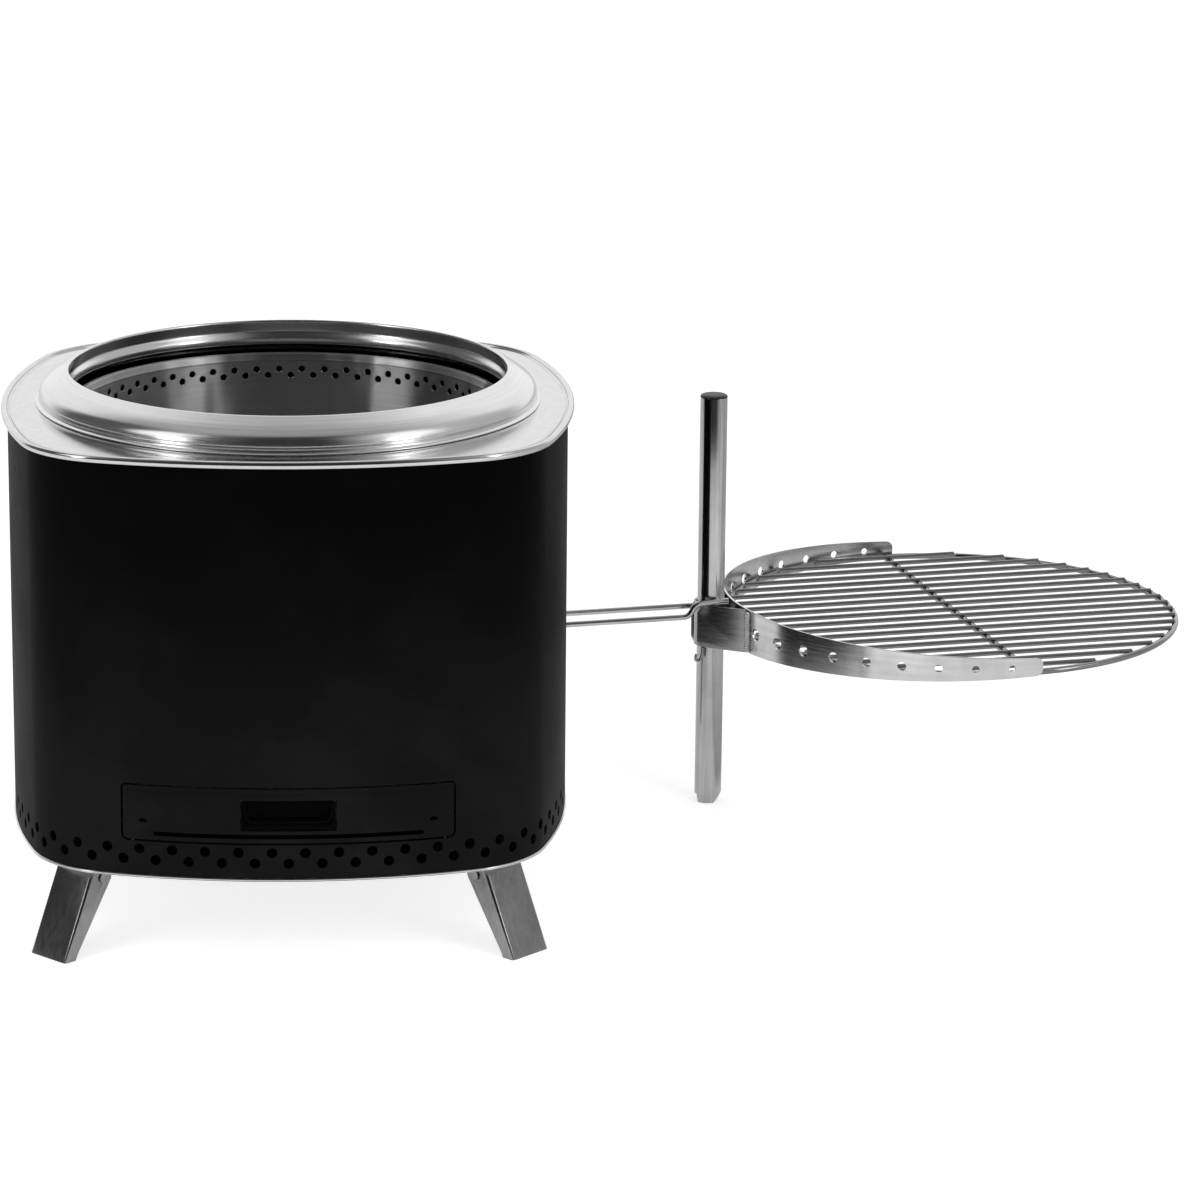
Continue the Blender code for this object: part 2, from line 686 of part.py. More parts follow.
def build_leg(name, parent, finish):
    """U-channel: a prism across the leg with its inside taken out."""
    turn = Matrix.Rotation(math.pi / 2, 4, "X")
    leg = add_part(name, prism_mesh(name, leg_outline(), LEG_WIDTH, turn), finish, parent)
    sheet = LEG_SHEET / math.cos(leg_slope())
    top = (LEG_TOP_REACH - LEG_PIVOT_REACH - sheet, LEG_TOP_Z - LEG_PIVOT_Z)
    foot = (LEG_FOOT_REACH - LEG_PIVOT_REACH - sheet, -LEG_PIVOT_Z)
    slope = (foot[0] - top[0]) / (foot[1] - top[1])
    inside = [(top[0] + slope * 0.01, top[1] + 0.01), (-0.06, top[1] + 0.01),
              (-0.06, foot[1] - 0.01), (foot[0] - slope * 0.01, foot[1] - 0.01)]
    channel = prism_mesh(f"channel_{name}", inside, LEG_WIDTH - 2 * LEG_SHEET, turn)
    boolean(leg, add_cutter(f"channel_{name}", channel, parent))
    boolean(leg, add_cutter(f"bore_{name}", pin_hole_mesh(), parent))
    return leg


def pin_hole_mesh():
    bm = bmesh.new()
    add_rod(bm, LEG_PIN_RADIUS + PIN_CLEARANCE, (0, -0.03, 0), (0, 0.03, 0), 8)
    return mesh_from_bmesh("pin_hole", bm)


def build_bracket(name, parent, finish):
    """U-bracket: a plate against the base pan and two ears that hold the pin."""
    half = LEG_WIDTH / 2 - LEG_SHEET - 0.0005
    top = PAN_PLATE_Z - TOUCH_GAP - LEG_PIVOT_Z
    ear = arc_points((0, 0), 0.0088, math.radians(-180), math.radians(0), 6)
    shape = ear + [(0.0058, top - LEG_SHEET), (0.0058, top), (-0.0100, top), (-0.0100, top - LEG_SHEET)]
    turn = Matrix.Rotation(math.pi / 2, 4, "X")
    bracket = add_part(name, prism_mesh(name, shape, 2 * half, turn), finish, parent)
    low = top - LEG_SHEET
    inside = [(-0.03, -0.03), (0.03, -0.03), (0.03, low), (-0.03, low)]
    gap = prism_mesh(f"gap_{name}", inside, 2 * (half - LEG_SHEET), turn)
    boolean(bracket, add_cutter(f"gap_{name}", gap, parent))
    boolean(bracket, add_cutter(f"bore_{name}", pin_hole_mesh(), parent))


def build_pin(name, parent, finish):
    """Hinge pin with a head at each end, turned about its own axis."""
    half = LEG_WIDTH / 2 + TOUCH_GAP
    head, thick = 0.0042, 0.0014
    profile = [(0, half + thick), (head, half + thick), (head, half), (LEG_PIN_RADIUS, half),
               (LEG_PIN_RADIUS, -half), (head, -half), (head, -half - thick), (0, -half - thick)]
    pin = add_part(name, turned_mesh(name, profile), finish, parent)
    screw(pin, 8)
    pin.rotation_euler.x = math.pi / 2
    smooth(pin)


def build_legs(root, black, steel):
    corners = (("front_left", 5), ("front_right", 7), ("rear_right", 1), ("rear_left", 3))
    for corner, eighth in corners:
        turn = eighth * math.pi / 4
        place = (LEG_PIVOT_REACH * math.cos(turn), LEG_PIVOT_REACH * math.sin(turn), LEG_PIVOT_Z)
        pivot = make_empty(f"pivot_{corner}", place, root, turn)
        build_leg(f"leg_{corner}", pivot, steel)
        build_bracket(f"leg_bracket_{corner}", pivot, black)
        build_pin(f"leg_pin_{corner}", pivot, steel)


# Grill post


def build_post(root, steel, black):
    top = POST_HEIGHT - 0.0030
    bm = bmesh.new()
    add_rod(bm, POST_RADIUS, (0, 0, 0), (0, 0, top), 20)
    post = add_part("post_tube", mesh_from_bmesh("post_tube", bm), steel, root)
    bm = bmesh.new()
    add_rod(bm, POST_RADIUS - POST_WALL, (0, 0, -0.01), (0, 0, top + 0.01), 20)
    boolean(post, add_cutter("post_bore", mesh_from_bmesh("post_bore", bm), root))
    boolean(post, add_cutter("catch_cutter", catch_hole_mesh(), root))
    boolean(post, add_cutter("foot_cutter", foot_cutter_mesh(), root))
    smooth(post)
    build_cap(root, black, top)


def catch_hole_mesh():
    """Catch holes down the side of the post that faces the grate."""
    bm = bmesh.new()
    side = Vector((math.cos(ARM_TURN), math.sin(ARM_TURN), 0))
    for i in range(CATCH_HOLE_COUNT):
        middle = side * POST_RADIUS
        middle.z = CATCH_HOLE_TOP - i * CATCH_HOLE_PITCH
        add_rod(bm, CATCH_HOLE_RADIUS, middle - side * 0.004, middle + side * 0.004, 8)
    return mesh_from_bmesh("catch_cutter", bm)


def foot_cutter_mesh():
    """Wedges that slant the foot on its right side and notch it on its left."""
    slant = [(0.0035, -0.001), (0.0200, -0.001), (0.0200, 0.0115), (0.0140, 0.0115)]
    notch = [(-0.0200, -0.001), (-0.0098, -0.001), (-0.0098, 0.0075), (-0.0200, 0.0075)]
    bm = bmesh.new()
    for outline in (slant, notch):
        mesh = prism_mesh("wedge", outline, 0.05, Matrix.Rotation(math.pi / 2, 4, "X"))
        bm.from_mesh(mesh)
        bpy.data.meshes.remove(mesh)
    return mesh_from_bmesh("foot_cutter", bm)


def build_cap(root, black, top):
    plug = POST_RADIUS - POST_WALL - TOUCH_GAP
    flange = top + TOUCH_GAP
    profile = [(0, POST_HEIGHT), (POST_RADIUS - 0.0012, POST_HEIGHT),
               (POST_RADIUS, POST_HEIGHT - 0.0012), (POST_RADIUS, flange), (plug, flange),
               (plug, flange - 0.0120), (0, flange - 0.0120)]
    cap = add_part("post_cap", turned_mesh("post_cap", profile), black, root)
    screw(cap, 20)
    smooth(cap)


# Grill arm


def build_collar(arm, steel):
    inner = POST_RADIUS + COLLAR_CLEARANCE
    outer = inner + COLLAR_WALL
    plate = flat_curve("slide_collar", [circle_points(outer, 24), circle_points(inner, 24)],
                       STRIP_HEIGHT)
    collar = add_part("slide_collar", curve_to_mesh("slide_collar", plate), steel, arm)
    collar.location.z = STRIP_MID_Z
    smooth(collar)


def band_outer_radius():
    return GRATE_RADIUS + GRATE_CLEARANCE + STRIP_SHEET


def wing_ends():
    """Ends of a wing plate's middle line: tangent to the collar, then at the band."""
    lift = POST_RADIUS + COLLAR_CLEARANCE + COLLAR_WALL + TOUCH_GAP + STRIP_SHEET / 2
    outer = band_outer_radius() + 0.0008
    end = Vector((GRATE_CENTRE - math.sqrt(outer ** 2 - WING_SPREAD ** 2), -WING_SPREAD))
    away = math.atan2(end.y, end.x) - math.acos(lift / end.length)
    start = Vector((lift * math.cos(away), lift * math.sin(away)))
    return start, end


def build_wings(arm, steel, weld_finish):
    start, end = wing_ends()
    along = (end - start).normalized()
    back = 0.0065
    length = (end - start).length - 0.0012
    half = STRIP_HEIGHT / 2
    outline = [(-back + 0.0060, half), (length, half), (length, -half), (-back + 0.0035, -half),
               (-back, -half + 0.0050), (-back, half - 0.0080)]
    for name, side in (("near", 1), ("far", -1)):
        plate = prism_mesh(f"wing_plate_{name}", outline, STRIP_SHEET, Matrix.Rotation(math.pi / 2, 4, "X"))
        wing = add_part(f"wing_plate_{name}", plate, steel, arm)
        wing.location = (start.x, side * start.y, STRIP_MID_Z)
        wing.rotation_euler.z = side * math.atan2(along.y, along.x)
        bead = weld_place(end, along)
        bm = bmesh.new()
        add_rod(bm, WELD_RADIUS, (0, 0, -half + 0.001), (0, 0, half - 0.001), 8)
        weld = add_part(f"wing_weld_{name}", mesh_from_bmesh(f"wing_weld_{name}", bm), weld_finish, arm)
        weld.location = (bead.x, side * bead.y, STRIP_MID_Z)


def weld_place(end, along):
    """Middle of the bead that lies in the corner between a wing and the band."""
    outward = Vector((along.y, -along.x))
    aside = end + outward * (STRIP_SHEET / 2 + WELD_RADIUS + TOUCH_GAP)
    offset = aside - Vector((GRATE_CENTRE, 0))
    reach = band_outer_radius() + WELD_RADIUS + TOUCH_GAP
    middle = offset.dot(along)
    back = middle + math.sqrt(middle ** 2 - offset.length_squared + reach ** 2)
    return aside - along * back


def band_half_height(angle):
    """Half the band's height at an angle from the post, tapering to rounded ends."""
    angle = abs(angle)
    share = (angle - BAND_FULL_ANGLE) / (BAND_HALF_ANGLE - BAND_FULL_ANGLE)
    share = min(max(share, 0.0), 1.0)
    height = (STRIP_HEIGHT + share * (BAND_END_HEIGHT - STRIP_HEIGHT)) / 2
    corner = 0.0055
    left = (BAND_HALF_ANGLE - angle) * band_outer_radius()
    if left < corner:
        height -= corner - math.sqrt(corner ** 2 - (corner - left) ** 2) * 0.96
    return height


def band_angles():
    regular = [BAND_HALF_ANGLE * i / 18 for i in range(-17, 18)]
    ends = [BAND_HALF_ANGLE - reach / band_outer_radius() for reach in (0.0, 0.0014, 0.0055)]
    return [-a for a in ends] + [a for a in regular if abs(a) < ends[-1]] + ends[::-1]


def build_band(arm, steel):
    radius = band_outer_radius()
    bm = bmesh.new()
    columns = []
    for angle in band_angles():
        x = -radius * math.cos(angle)
        y = radius * math.sin(angle)
        half = band_half_height(angle)
        columns.append((bm.verts.new((x, y, -half)), bm.verts.new((x, y, half))))
    for (low, high), (low2, high2) in zip(columns, columns[1:]):
        bm.faces.new((low, high, high2, low2))
    mesh = bpy.data.meshes.new("arc_band")
    bm.to_mesh(mesh)
    bm.free()
    band = add_part("arc_band", mesh, steel, arm)
    band.location = (GRATE_CENTRE, 0, STRIP_MID_Z)
    mesh.update()
    outward = mesh.polygons[len(mesh.polygons) // 2].normal.x < 0
    solidify(band, STRIP_SHEET, -1 if outward else 1)
    holes = add_cutter("band_cutter", band_hole_mesh(), arm)
    holes.location = band.location
    boolean(band, holes)
    smooth(band)


def band_hole_mesh():
    bm = bmesh.new()
    radius = band_outer_radius()
    for side in (-1, 1):
        for i in range(-1, BAND_HOLES):
            angle = side * (BAND_FIRST_HOLE + i * BAND_HOLE_PITCH)
            share = max(i, 0) / (BAND_HOLES - 1)
            hole = BAND_HOLE_LARGE + share * (BAND_HOLE_SMALL - BAND_HOLE_LARGE)
            out = Vector((-math.cos(angle), math.sin(angle), 0))
            add_rod(bm, hole, out * (radius - 0.006), out * (radius + 0.004), 8)
    return mesh_from_bmesh("band_cutter", bm)


def build_grate(arm, steel):
    """Ring wire and cross rod under nineteen bars, joined as welding joins them."""
    low = BAR_Z - BAR_WIRE - RING_WIRE + WELD_SINK
    middle = GRATE_RADIUS - RING_WIRE
    ring_points = [(x, y, 0) for x, y in circle_points(middle, 60, 0.02)]
    ring = curve_to_mesh("cooking_grate", wire_curve("ring", ring_points, RING_WIRE, 2, True))
    grate = add_part("cooking_grate", ring, steel, arm)
    grate.location = (GRATE_CENTRE, 0, low)
    rod = bmesh.new()
    add_rod(rod, RING_WIRE, (0.004, -middle, 0), (0.004, middle, 0), 8)
    cross = add_cutter("cross_rod", mesh_from_bmesh("cross_rod", rod), arm)
    bars = add_cutter("grate_bars", bars_mesh(BAR_Z - low), arm)
    for joiner in (cross, bars):
        joiner.location = grate.location
        boolean(grate, joiner, "UNION")
    smooth(grate, 40)


def bars_mesh(height):
    bm = bmesh.new()
    reach = GRATE_RADIUS - RING_WIRE
    for i in range(BAR_COUNT):
        y = (i - (BAR_COUNT - 1) / 2) * BAR_PITCH
        end = math.sqrt(reach ** 2 - y ** 2)
        add_rod(bm, BAR_WIRE, (-end, y, height), (end, y, height), 6)
    return mesh_from_bmesh("grate_bars", bm)


def handle_points():
    """Wire from the far plate, out round the tip, back and up over the near plate."""
    half = HANDLE_HALF_WIDTH
    z = HANDLE_Z
    high = STRIP_MID_Z + STRIP_HEIGHT / 2 + HANDLE_WIRE + 0.0006
    corner = HANDLE_CORNER
    turn = -HANDLE_REACH + HANDLE_WIRE + corner
    points = [(-0.0105, half, z), (-0.0600, half, z)]
    for side in (1, -1):
        start = math.pi / 2 if side > 0 else math.pi
        arc = arc_points((turn, side * (half - corner)), corner, start, start + math.pi / 2, 6)
        points += [(x, y, z) for x, y in arc]
    points += [(-0.0600, -half, z), (-0.0300, -half, z), (-0.0255, -half, z + 0.0012),
               (-0.0220, -half, z + 0.0046), (-0.0190, -half, high - 0.0022),
               (-0.0150, -half + 0.0004, high - 0.0004), (-0.0100, -half + 0.0014, high),
               (0.0060, -0.0165, high), (0.0120, -0.0165, high)]
    return points


def build_handle(arm, steel):
    curve = wire_curve("handle_loop", handle_points(), HANDLE_WIRE, 2)
    handle = add_part("handle_loop", curve_to_mesh("handle_loop", curve), steel, arm)
    smooth(handle, 50)


def build_hook(arm, steel):
    """Small hook that hangs below the near plate, beside the post."""
    top = STRIP_MID_Z - STRIP_HEIGHT / 2 - TOUCH_GAP
    start = wing_ends()[0]
    x, y = start.x - 0.0010, start.y - 0.0004
    points = [(x, y, top), (x - 0.0006, y, top - 0.0050), (x - 0.0022, y, top - 0.0095),
              (x - 0.0046, y, top - 0.0118), (x - 0.0066, y, top - 0.0095),
              (x - 0.0062, y, top - 0.0060)]
    curve = wire_curve("latch_hook", points, 0.0014, 2)
    add_part("latch_hook", curve_to_mesh("latch_hook", curve), steel, arm)


# Assembly


def stand_on_origin(root):
    """Moves the assembly so that its bounding box stands centred on the origin."""
    bpy.context.view_layer.update()
    graph = bpy.context.evaluated_depsgraph_get()
    corners = []
    for obj in PARTS.objects:
        if obj.type == "MESH":
            ready = obj.evaluated_get(graph)
            corners += [ready.matrix_world @ v.co for v in ready.data.vertices]
    for axis in range(2):
        low = min(corner[axis] for corner in corners)
        high = max(corner[axis] for corner in corners)
        root.location[axis] -= (low + high) / 2
    bpy.context.view_layer.update()


def report_places():
    for obj in list(PARTS.objects):
        if obj.type == "EMPTY":
            place = obj.matrix_world.translation
            print(f"{obj.name}: {place.x:.5f} {place.y:.5f} {place.z:.5f}")


def build():
    black = make_material("black_enamel", (0.010, 0.010, 0.011), 0.42, 0.0)
    bright = make_material("bright_steel", (0.72, 0.72, 0.73), 0.22, 1.0)
    brushed = make_material("brushed_steel", (0.55, 0.55, 0.56), 0.32, 1.0)
    galvanised = make_material("plain_sheet", (0.42, 0.43, 0.44), 0.45, 1.0)
    weld = make_material("weld_bead", (0.62, 0.62, 0.60), 0.55, 1.0)
    cap = make_material("black_plastic", (0.012, 0.012, 0.012), 0.50, 0.0)
    root = make_empty("fire_barrel_frame", (0, 0, 0))
    build_shell(root, black)
    build_base(root, bright)
    build_deck(root, bright)
    build_flame_ring(root, bright)
    build_chamber(root, bright)
    build_bulkhead(root, galvanised)
    build_fire_grate(root, galvanised)
    build_rails(root, galvanised)
    drawer = make_empty("drawer_frame", (0, 0, 0), root)
    build_drawer(drawer, black, galvanised)
    build_legs(root, galvanised, brushed)
    post = make_empty("post_frame", (POST_X, POST_Y, 0), root)
    build_post(post, bright, cap)
    arm = make_empty("arm_frame", (0, 0, 0), post, ARM_TURN)
    build_collar(arm, brushed)
    build_wings(arm, brushed, weld)
    build_band(arm, brushed)
    build_grate(arm, bright)
    build_handle(arm, bright)
    build_hook(arm, bright)
    stand_on_origin(root)
    report_places()


clear_scene()
PARTS = make_collection("fire_barrel")
CUTTERS = make_collection("cutters")
build()
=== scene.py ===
"""Looks of a portable fire barrel with an ash drawer and a swing-out cooking grate.

The barrel is a black double-walled drum with a bright deck, a turned flame ring and
four folding legs.  Beside it stands the grill set: a post, a collar that slides on it
and a welded grate in a tapered band.  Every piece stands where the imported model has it.
Metres, +Z up; the barrel's front faces -Y.
"""

import json
import logging
import math
from collections.abc import Callable, Iterable, Iterator, Sequence
from contextlib import contextmanager
from dataclasses import dataclass, field
from enum import Enum
from functools import cache

import bmesh
import bpy
from mathutils import Matrix, Vector

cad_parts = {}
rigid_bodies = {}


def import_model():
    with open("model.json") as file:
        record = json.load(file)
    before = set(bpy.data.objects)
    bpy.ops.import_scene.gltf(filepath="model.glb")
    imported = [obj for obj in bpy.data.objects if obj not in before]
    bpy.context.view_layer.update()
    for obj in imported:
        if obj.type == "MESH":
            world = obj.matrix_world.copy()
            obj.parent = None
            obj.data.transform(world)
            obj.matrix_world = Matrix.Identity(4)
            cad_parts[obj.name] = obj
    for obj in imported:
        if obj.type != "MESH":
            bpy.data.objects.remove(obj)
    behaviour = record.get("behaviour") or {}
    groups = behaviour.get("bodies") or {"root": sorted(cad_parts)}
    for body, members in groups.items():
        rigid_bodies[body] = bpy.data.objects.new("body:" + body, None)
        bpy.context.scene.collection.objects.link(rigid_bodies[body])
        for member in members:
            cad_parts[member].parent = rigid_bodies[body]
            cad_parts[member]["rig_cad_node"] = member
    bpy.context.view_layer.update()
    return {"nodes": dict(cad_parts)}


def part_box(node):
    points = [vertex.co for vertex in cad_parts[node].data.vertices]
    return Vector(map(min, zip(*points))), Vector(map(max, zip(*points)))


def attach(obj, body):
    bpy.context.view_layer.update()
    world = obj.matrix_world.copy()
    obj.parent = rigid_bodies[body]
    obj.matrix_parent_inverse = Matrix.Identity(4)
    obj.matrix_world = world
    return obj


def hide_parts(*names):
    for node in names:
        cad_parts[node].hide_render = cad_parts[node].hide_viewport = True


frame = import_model()
LOG = logging.getLogger("fire_barrel")

Point = tuple[float, float]

GAP = 0.0003  # between sheets that touch
EASE = 0.0003  # radius of a sheet's eased edges
MERGE = 0.000002  # points closer than this are one
ROOM = 0.48  # share of a side that one rounded corner may take
MITRE = 0.6  # least cosine of half the turn in a thickened path
UPRIGHT = Matrix.Rotation(math.pi / 2, 4, "X")  # stands a flat outline up: its y becomes height
ARM_TURN = 12.4  # degrees that the grill arm is turned about its post


class Cut(Enum):
    """Which part of a mesh a cutter leaves."""

    OUTSIDE = "DIFFERENCE"
    INSIDE = "INTERSECT"


class Corner(Enum):
    """A leg's corner, by its turn from +X in eighths of a circle."""

    FRONT_LEFT = 5
    FRONT_RIGHT = 7
    REAR_RIGHT = 1
    REAR_LEFT = 3


# Shaping tools


def linked(name: str, data: bpy.types.ID) -> bpy.types.Object:
    """Makes an object and puts it in the scene.

    Args:
        name: Its name.
        data: Its mesh, curve, lamp or camera.

    Returns:
        The object.
    """
    thing = bpy.data.objects.new(name, data)
    bpy.context.scene.collection.objects.link(thing)
    return thing


@contextmanager
def edited(mesh: bpy.types.Mesh) -> Iterator[bmesh.types.BMesh]:
    """Opens a mesh for changes, then turns its faces outwards and writes it back.

    Args:
        mesh: The mesh.

    Yields:
        The open mesh.
    """
    bm = bmesh.new()
    bm.from_mesh(mesh)
    yield bm
    bmesh.ops.recalc_face_normals(bm, faces=bm.faces)
    bm.to_mesh(mesh)
    bm.free()


def soften(path: Sequence, cuts: float | Sequence[float], steps: int = 4,
           closed: bool = False) -> list[tuple]:
    """Rounds the corners of a path.

    Args:
        path: Its points, in two or three dimensions.
        cuts: How far back from a corner its rounding starts, for all or one each.
        steps: Pieces in each rounding.
        closed: Whether the last point joins the first.

    Returns:
        The points of the rounded path.
    """
    rounded = []
    for i, here in enumerate(path):
        cut = cuts[i] if isinstance(cuts, (list, tuple)) else cuts
        if cut <= 0 or (not closed and i in (0, len(path) - 1)):
            rounded.append(tuple(here))
            continue
        corner = Vector(here)
        arms = [Vector(side) - corner for side in (path[i - 1], path[(i + 1) % len(path)])]
        start, end = (corner + arm.normalized() * min(cut, arm.length * ROOM) for arm in arms)
        for k in range(steps + 1):
            t = k / steps
            rounded.append(tuple(start * (1 - t) ** 2 + corner * (2 * t * (1 - t)) + end * t * t))
    return rounded


def thicken(path: Sequence[Point], sheet: float) -> list[Point]:
    """Turns a middle line into the closed section of a sheet with rounded edges.

    Args:
        path: The middle line.
        sheet: The sheet's thickness.

    Returns:
        The closed section.
    """
    steps = 4
    left, right = [], []
    last = len(path) - 1
    for i, here in enumerate(path):
        here = Vector(here)
        back = (here - Vector(path[max(i - 1, 0)])).normalized() if i else None
        ahead = (Vector(path[min(i + 1, last)]) - here).normalized() if i < last else None
        along = (back + ahead).normalized() if back and ahead else (back or ahead)
        reach = sheet / 2 / max(along.dot(back or ahead), MITRE)
        across = Vector((-along.y, along.x)) * reach
        left.append(tuple(here + across))
        right.append(tuple(here - across))
    caps = []
    for start, middle in ((left[-1], path[-1]), (right[0], path[0])):
        arm = Vector(start) - Vector(middle)
        angle = math.atan2(arm.y, arm.x)
        caps.append(arc(middle, arm.length, angle, angle - math.pi, steps + 1)[1:-1])
    return left + caps[0] + right[::-1] + caps[1]


def arc(centre: Point, radius: float, start: float, end: float, count: int) -> list[Point]:
    """Points along an arc, both ends included."""
    step = (end - start) / (count - 1)
    return [(centre[0] + radius * math.cos(start + i * step),
             centre[1] + radius * math.sin(start + i * step)) for i in range(count)]


def circle(radius: float, count: int) -> list[Point]:
    """Points of a full circle about the origin."""
    return arc((0, 0), radius, 0, 2 * math.pi, count + 1)[:-1]


def soft_box(x0: float, x1: float, y0: float, y1: float, low: float, high: float) -> list[Point]:
    """Rectangle outline with one corner radius below and another above."""
    quarter = math.pi / 2
    return (arc((x1 - high, y1 - high), high, 0, quarter, 6)
            + arc((x0 + high, y1 - high), high, quarter, 2 * quarter, 6)
            + arc((x0 + low, y0 + low), low, 2 * quarter, 3 * quarter, 6)
            + arc((x1 - low, y0 + low), low, 3 * quarter, 4 * quarter, 6))


def lift(line: Iterable[Point], height: float) -> list[tuple]:
    """Raises the points of a flat line to a height."""
    return [(x, y, height) for x, y in line]


def mesh_of(name: str, verts: Iterable, faces: Iterable) -> bpy.types.Mesh:
    """Makes a mesh with its doubled points joined and its faces turned outwards.

    Args:
        name: Its name.
        verts: Its points.
        faces: Its faces, as numbers of points.

    Returns:
        The mesh.
    """
    mesh = bpy.data.meshes.new(name)
    mesh.from_pydata([tuple(v) for v in verts], [], list(faces))
    with edited(mesh) as bm:
        bmesh.ops.remove_doubles(bm, verts=bm.verts, dist=MERGE)
    return mesh


def skin(name: str, rows: Sequence[Sequence], shut: bool = True, wrap: bool = True,
         ends: bool = False) -> bpy.types.Mesh:
    """Skins rows of points.

    Args:
        name: The mesh's name.
        rows: Rows with the same number of points.
        shut: Whether the last row joins the first.
        wrap: Whether each row joins its own ends.
        ends: Whether the first and last rows are filled.

    Returns:
        The mesh.
    """
    size, count, faces = len(rows[0]), len(rows), []
    for r in range(count if shut else count - 1):
        s = (r + 1) % count
        for i in range(size if wrap else size - 1):
            j = (i + 1) % size
            faces.append((r * size + i, r * size + j, s * size + j, s * size + i))
    if ends:
        faces += [tuple(range(size)), tuple((count - 1) * size + i for i in range(size))]
    return mesh_of(name, [p for row in rows for p in row], faces)


def filled(mesh: bpy.types.Mesh) -> bpy.types.Mesh:
    """Closes the open ends of a mesh with flat faces.

    Args:
        mesh: The mesh.

    Returns:
        The same mesh.
    """
    with edited(mesh) as bm:
        bmesh.ops.holes_fill(bm, edges=bm.edges)
    return mesh


def turned(name: str, profile: Sequence[Point], steps: int, shut: bool = True) -> bpy.types.Mesh:
    """Turns a profile of (radius, height) about +Z."""
    rows = [[(r * x, r * y, z) for x, y in circle(1.0, steps)] for r, z in profile]
    return skin(name, rows, shut)


def baked(holder: bpy.types.Object) -> bpy.types.Mesh:
    """Gives the final mesh of an object and removes the object.

    Args:
        holder: The object, with its modifiers or its curve.

    Returns:
        The mesh.
    """
    bpy.context.view_layer.update()
    seen = holder.evaluated_get(bpy.context.evaluated_depsgraph_get())
    mesh = bpy.data.meshes.new_from_object(seen)
    bpy.data.objects.remove(holder)
    return mesh


def worked(mesh: bpy.types.Mesh, kind: str, **settings: object) -> bpy.types.Mesh:
    """Applies one modifier to a mesh.

    Args:
        mesh: The mesh, which is used up.
        kind: The modifier's type.
        settings: Its settings.

    Returns:
        The changed mesh under the same name.
    """
    name = mesh.name
    holder = linked(name, mesh)
    modifier = holder.modifiers.new(kind.lower(), kind)
    for key, value in settings.items():
        setattr(modifier, key, value)
    done = baked(holder)
    bpy.data.meshes.remove(mesh)
    done.name = name
    return done


def carved(mesh: bpy.types.Mesh, tool: bpy.types.Mesh, keep: Cut = Cut.OUTSIDE) -> bpy.types.Mesh:
    """Cuts a mesh with another.

    Args:
        mesh: The mesh, which is used up.
        tool: The closed cutter, which is used up too.
        keep: Which part of the mesh stays.

    Returns:
        The changed mesh under the same name.
    """
    knife = linked("knife", tool)
    done = worked(mesh, "BOOLEAN", operation=keep.value, solver="EXACT", object=knife)
    bpy.data.objects.remove(knife)
    bpy.data.meshes.remove(tool)
    return done


def studs(name: str, places: Iterable[tuple], profile: Sequence[Point], sides: int) -> bpy.types.Mesh:
    """Makes closed turned studs, for cutting holes or for lumps.

    Args:
        name: The mesh's name.
        places: Origin, axis and scale of each stud.
        profile: Distance along the axis and radius, both times the scale.
        sides: Sides of each stud.

    Returns:
        One mesh with all of them.
    """
    verts, faces = [], []
    for origin, axis, scale in places:
        axis = Vector(axis).normalized()
        level = abs(axis.z) < 0.9
        side = axis.cross(Vector((0, 0, 1)) if level else Vector((0, 1, 0))).normalized()
        up = axis.cross(side)
        base = len(verts)
        for distance, radius in profile:
            for x, y in circle(radius * scale, sides):
                verts.append(Vector(origin) + axis * distance * scale + side * x + up * y)
        for r in range(len(profile) - 1):
            for i in range(sides):
                j = (i + 1) % sides
                low, high = base + r * sides, base + (r + 1) * sides
                faces.append((low + i, low + j, high + j, high + i))
        for end in (base, base + (len(profile) - 1) * sides):
            faces.append(tuple(end + i for i in range(sides)))
    return mesh_of(name, verts, faces)


def from_curve(name: str, curve: bpy.types.Curve, place: Matrix | None = None) -> bpy.types.Mesh:
    """Turns a curve into a closed mesh.

    Args:
        name: The mesh's name.
        curve: The curve, which is used up.
        place: Where to put the mesh.

    Returns:
        The mesh.
    """
    mesh = baked(linked(name, curve))
    bpy.data.curves.remove(curve)
    with edited(mesh) as bm:
        bmesh.ops.remove_doubles(bm, verts=bm.verts, dist=MERGE)
        if place is not None:
            bm.transform(place)
    mesh.name = name
    return mesh


def trace(curve: bpy.types.Curve, points: Sequence[Sequence[float]], closed: bool) -> None:
    """Adds a line of straight pieces to a curve.

    Args:
        curve: The curve.
        points: The line's points, in three dimensions.
        closed: Whether the last point joins the first.
    """
    spline = curve.splines.new("POLY")
    spline.points.add(len(points) - 1)
    for point, co in zip(spline.points, points):
        point.co = (*co, 1)
    spline.use_cyclic_u = closed


def plate(name: str, outlines: Sequence[Sequence[Point]], sheet: float, edge: float = 0.0,
          place: Matrix | None = None) -> bpy.types.Mesh:
    """Flat plate with holes, centred on its plane.

    Args:
        name: The mesh's name.
        outlines: The outline and the holes.
        sheet: The plate's thickness.
        edge: Radius of its eased edges.
        place: Where to put it.

    Returns:
        The mesh.
    """
    curve = bpy.data.curves.new(name, "CURVE")
    curve.dimensions, curve.fill_mode = "2D", "BOTH"
    curve.extrude = sheet / 2 - edge
    curve.bevel_depth, curve.bevel_resolution, curve.offset = edge, 1, -edge
    for outline in outlines:
        trace(curve, lift(outline, 0.0), True)
    return from_curve(name, curve, place)


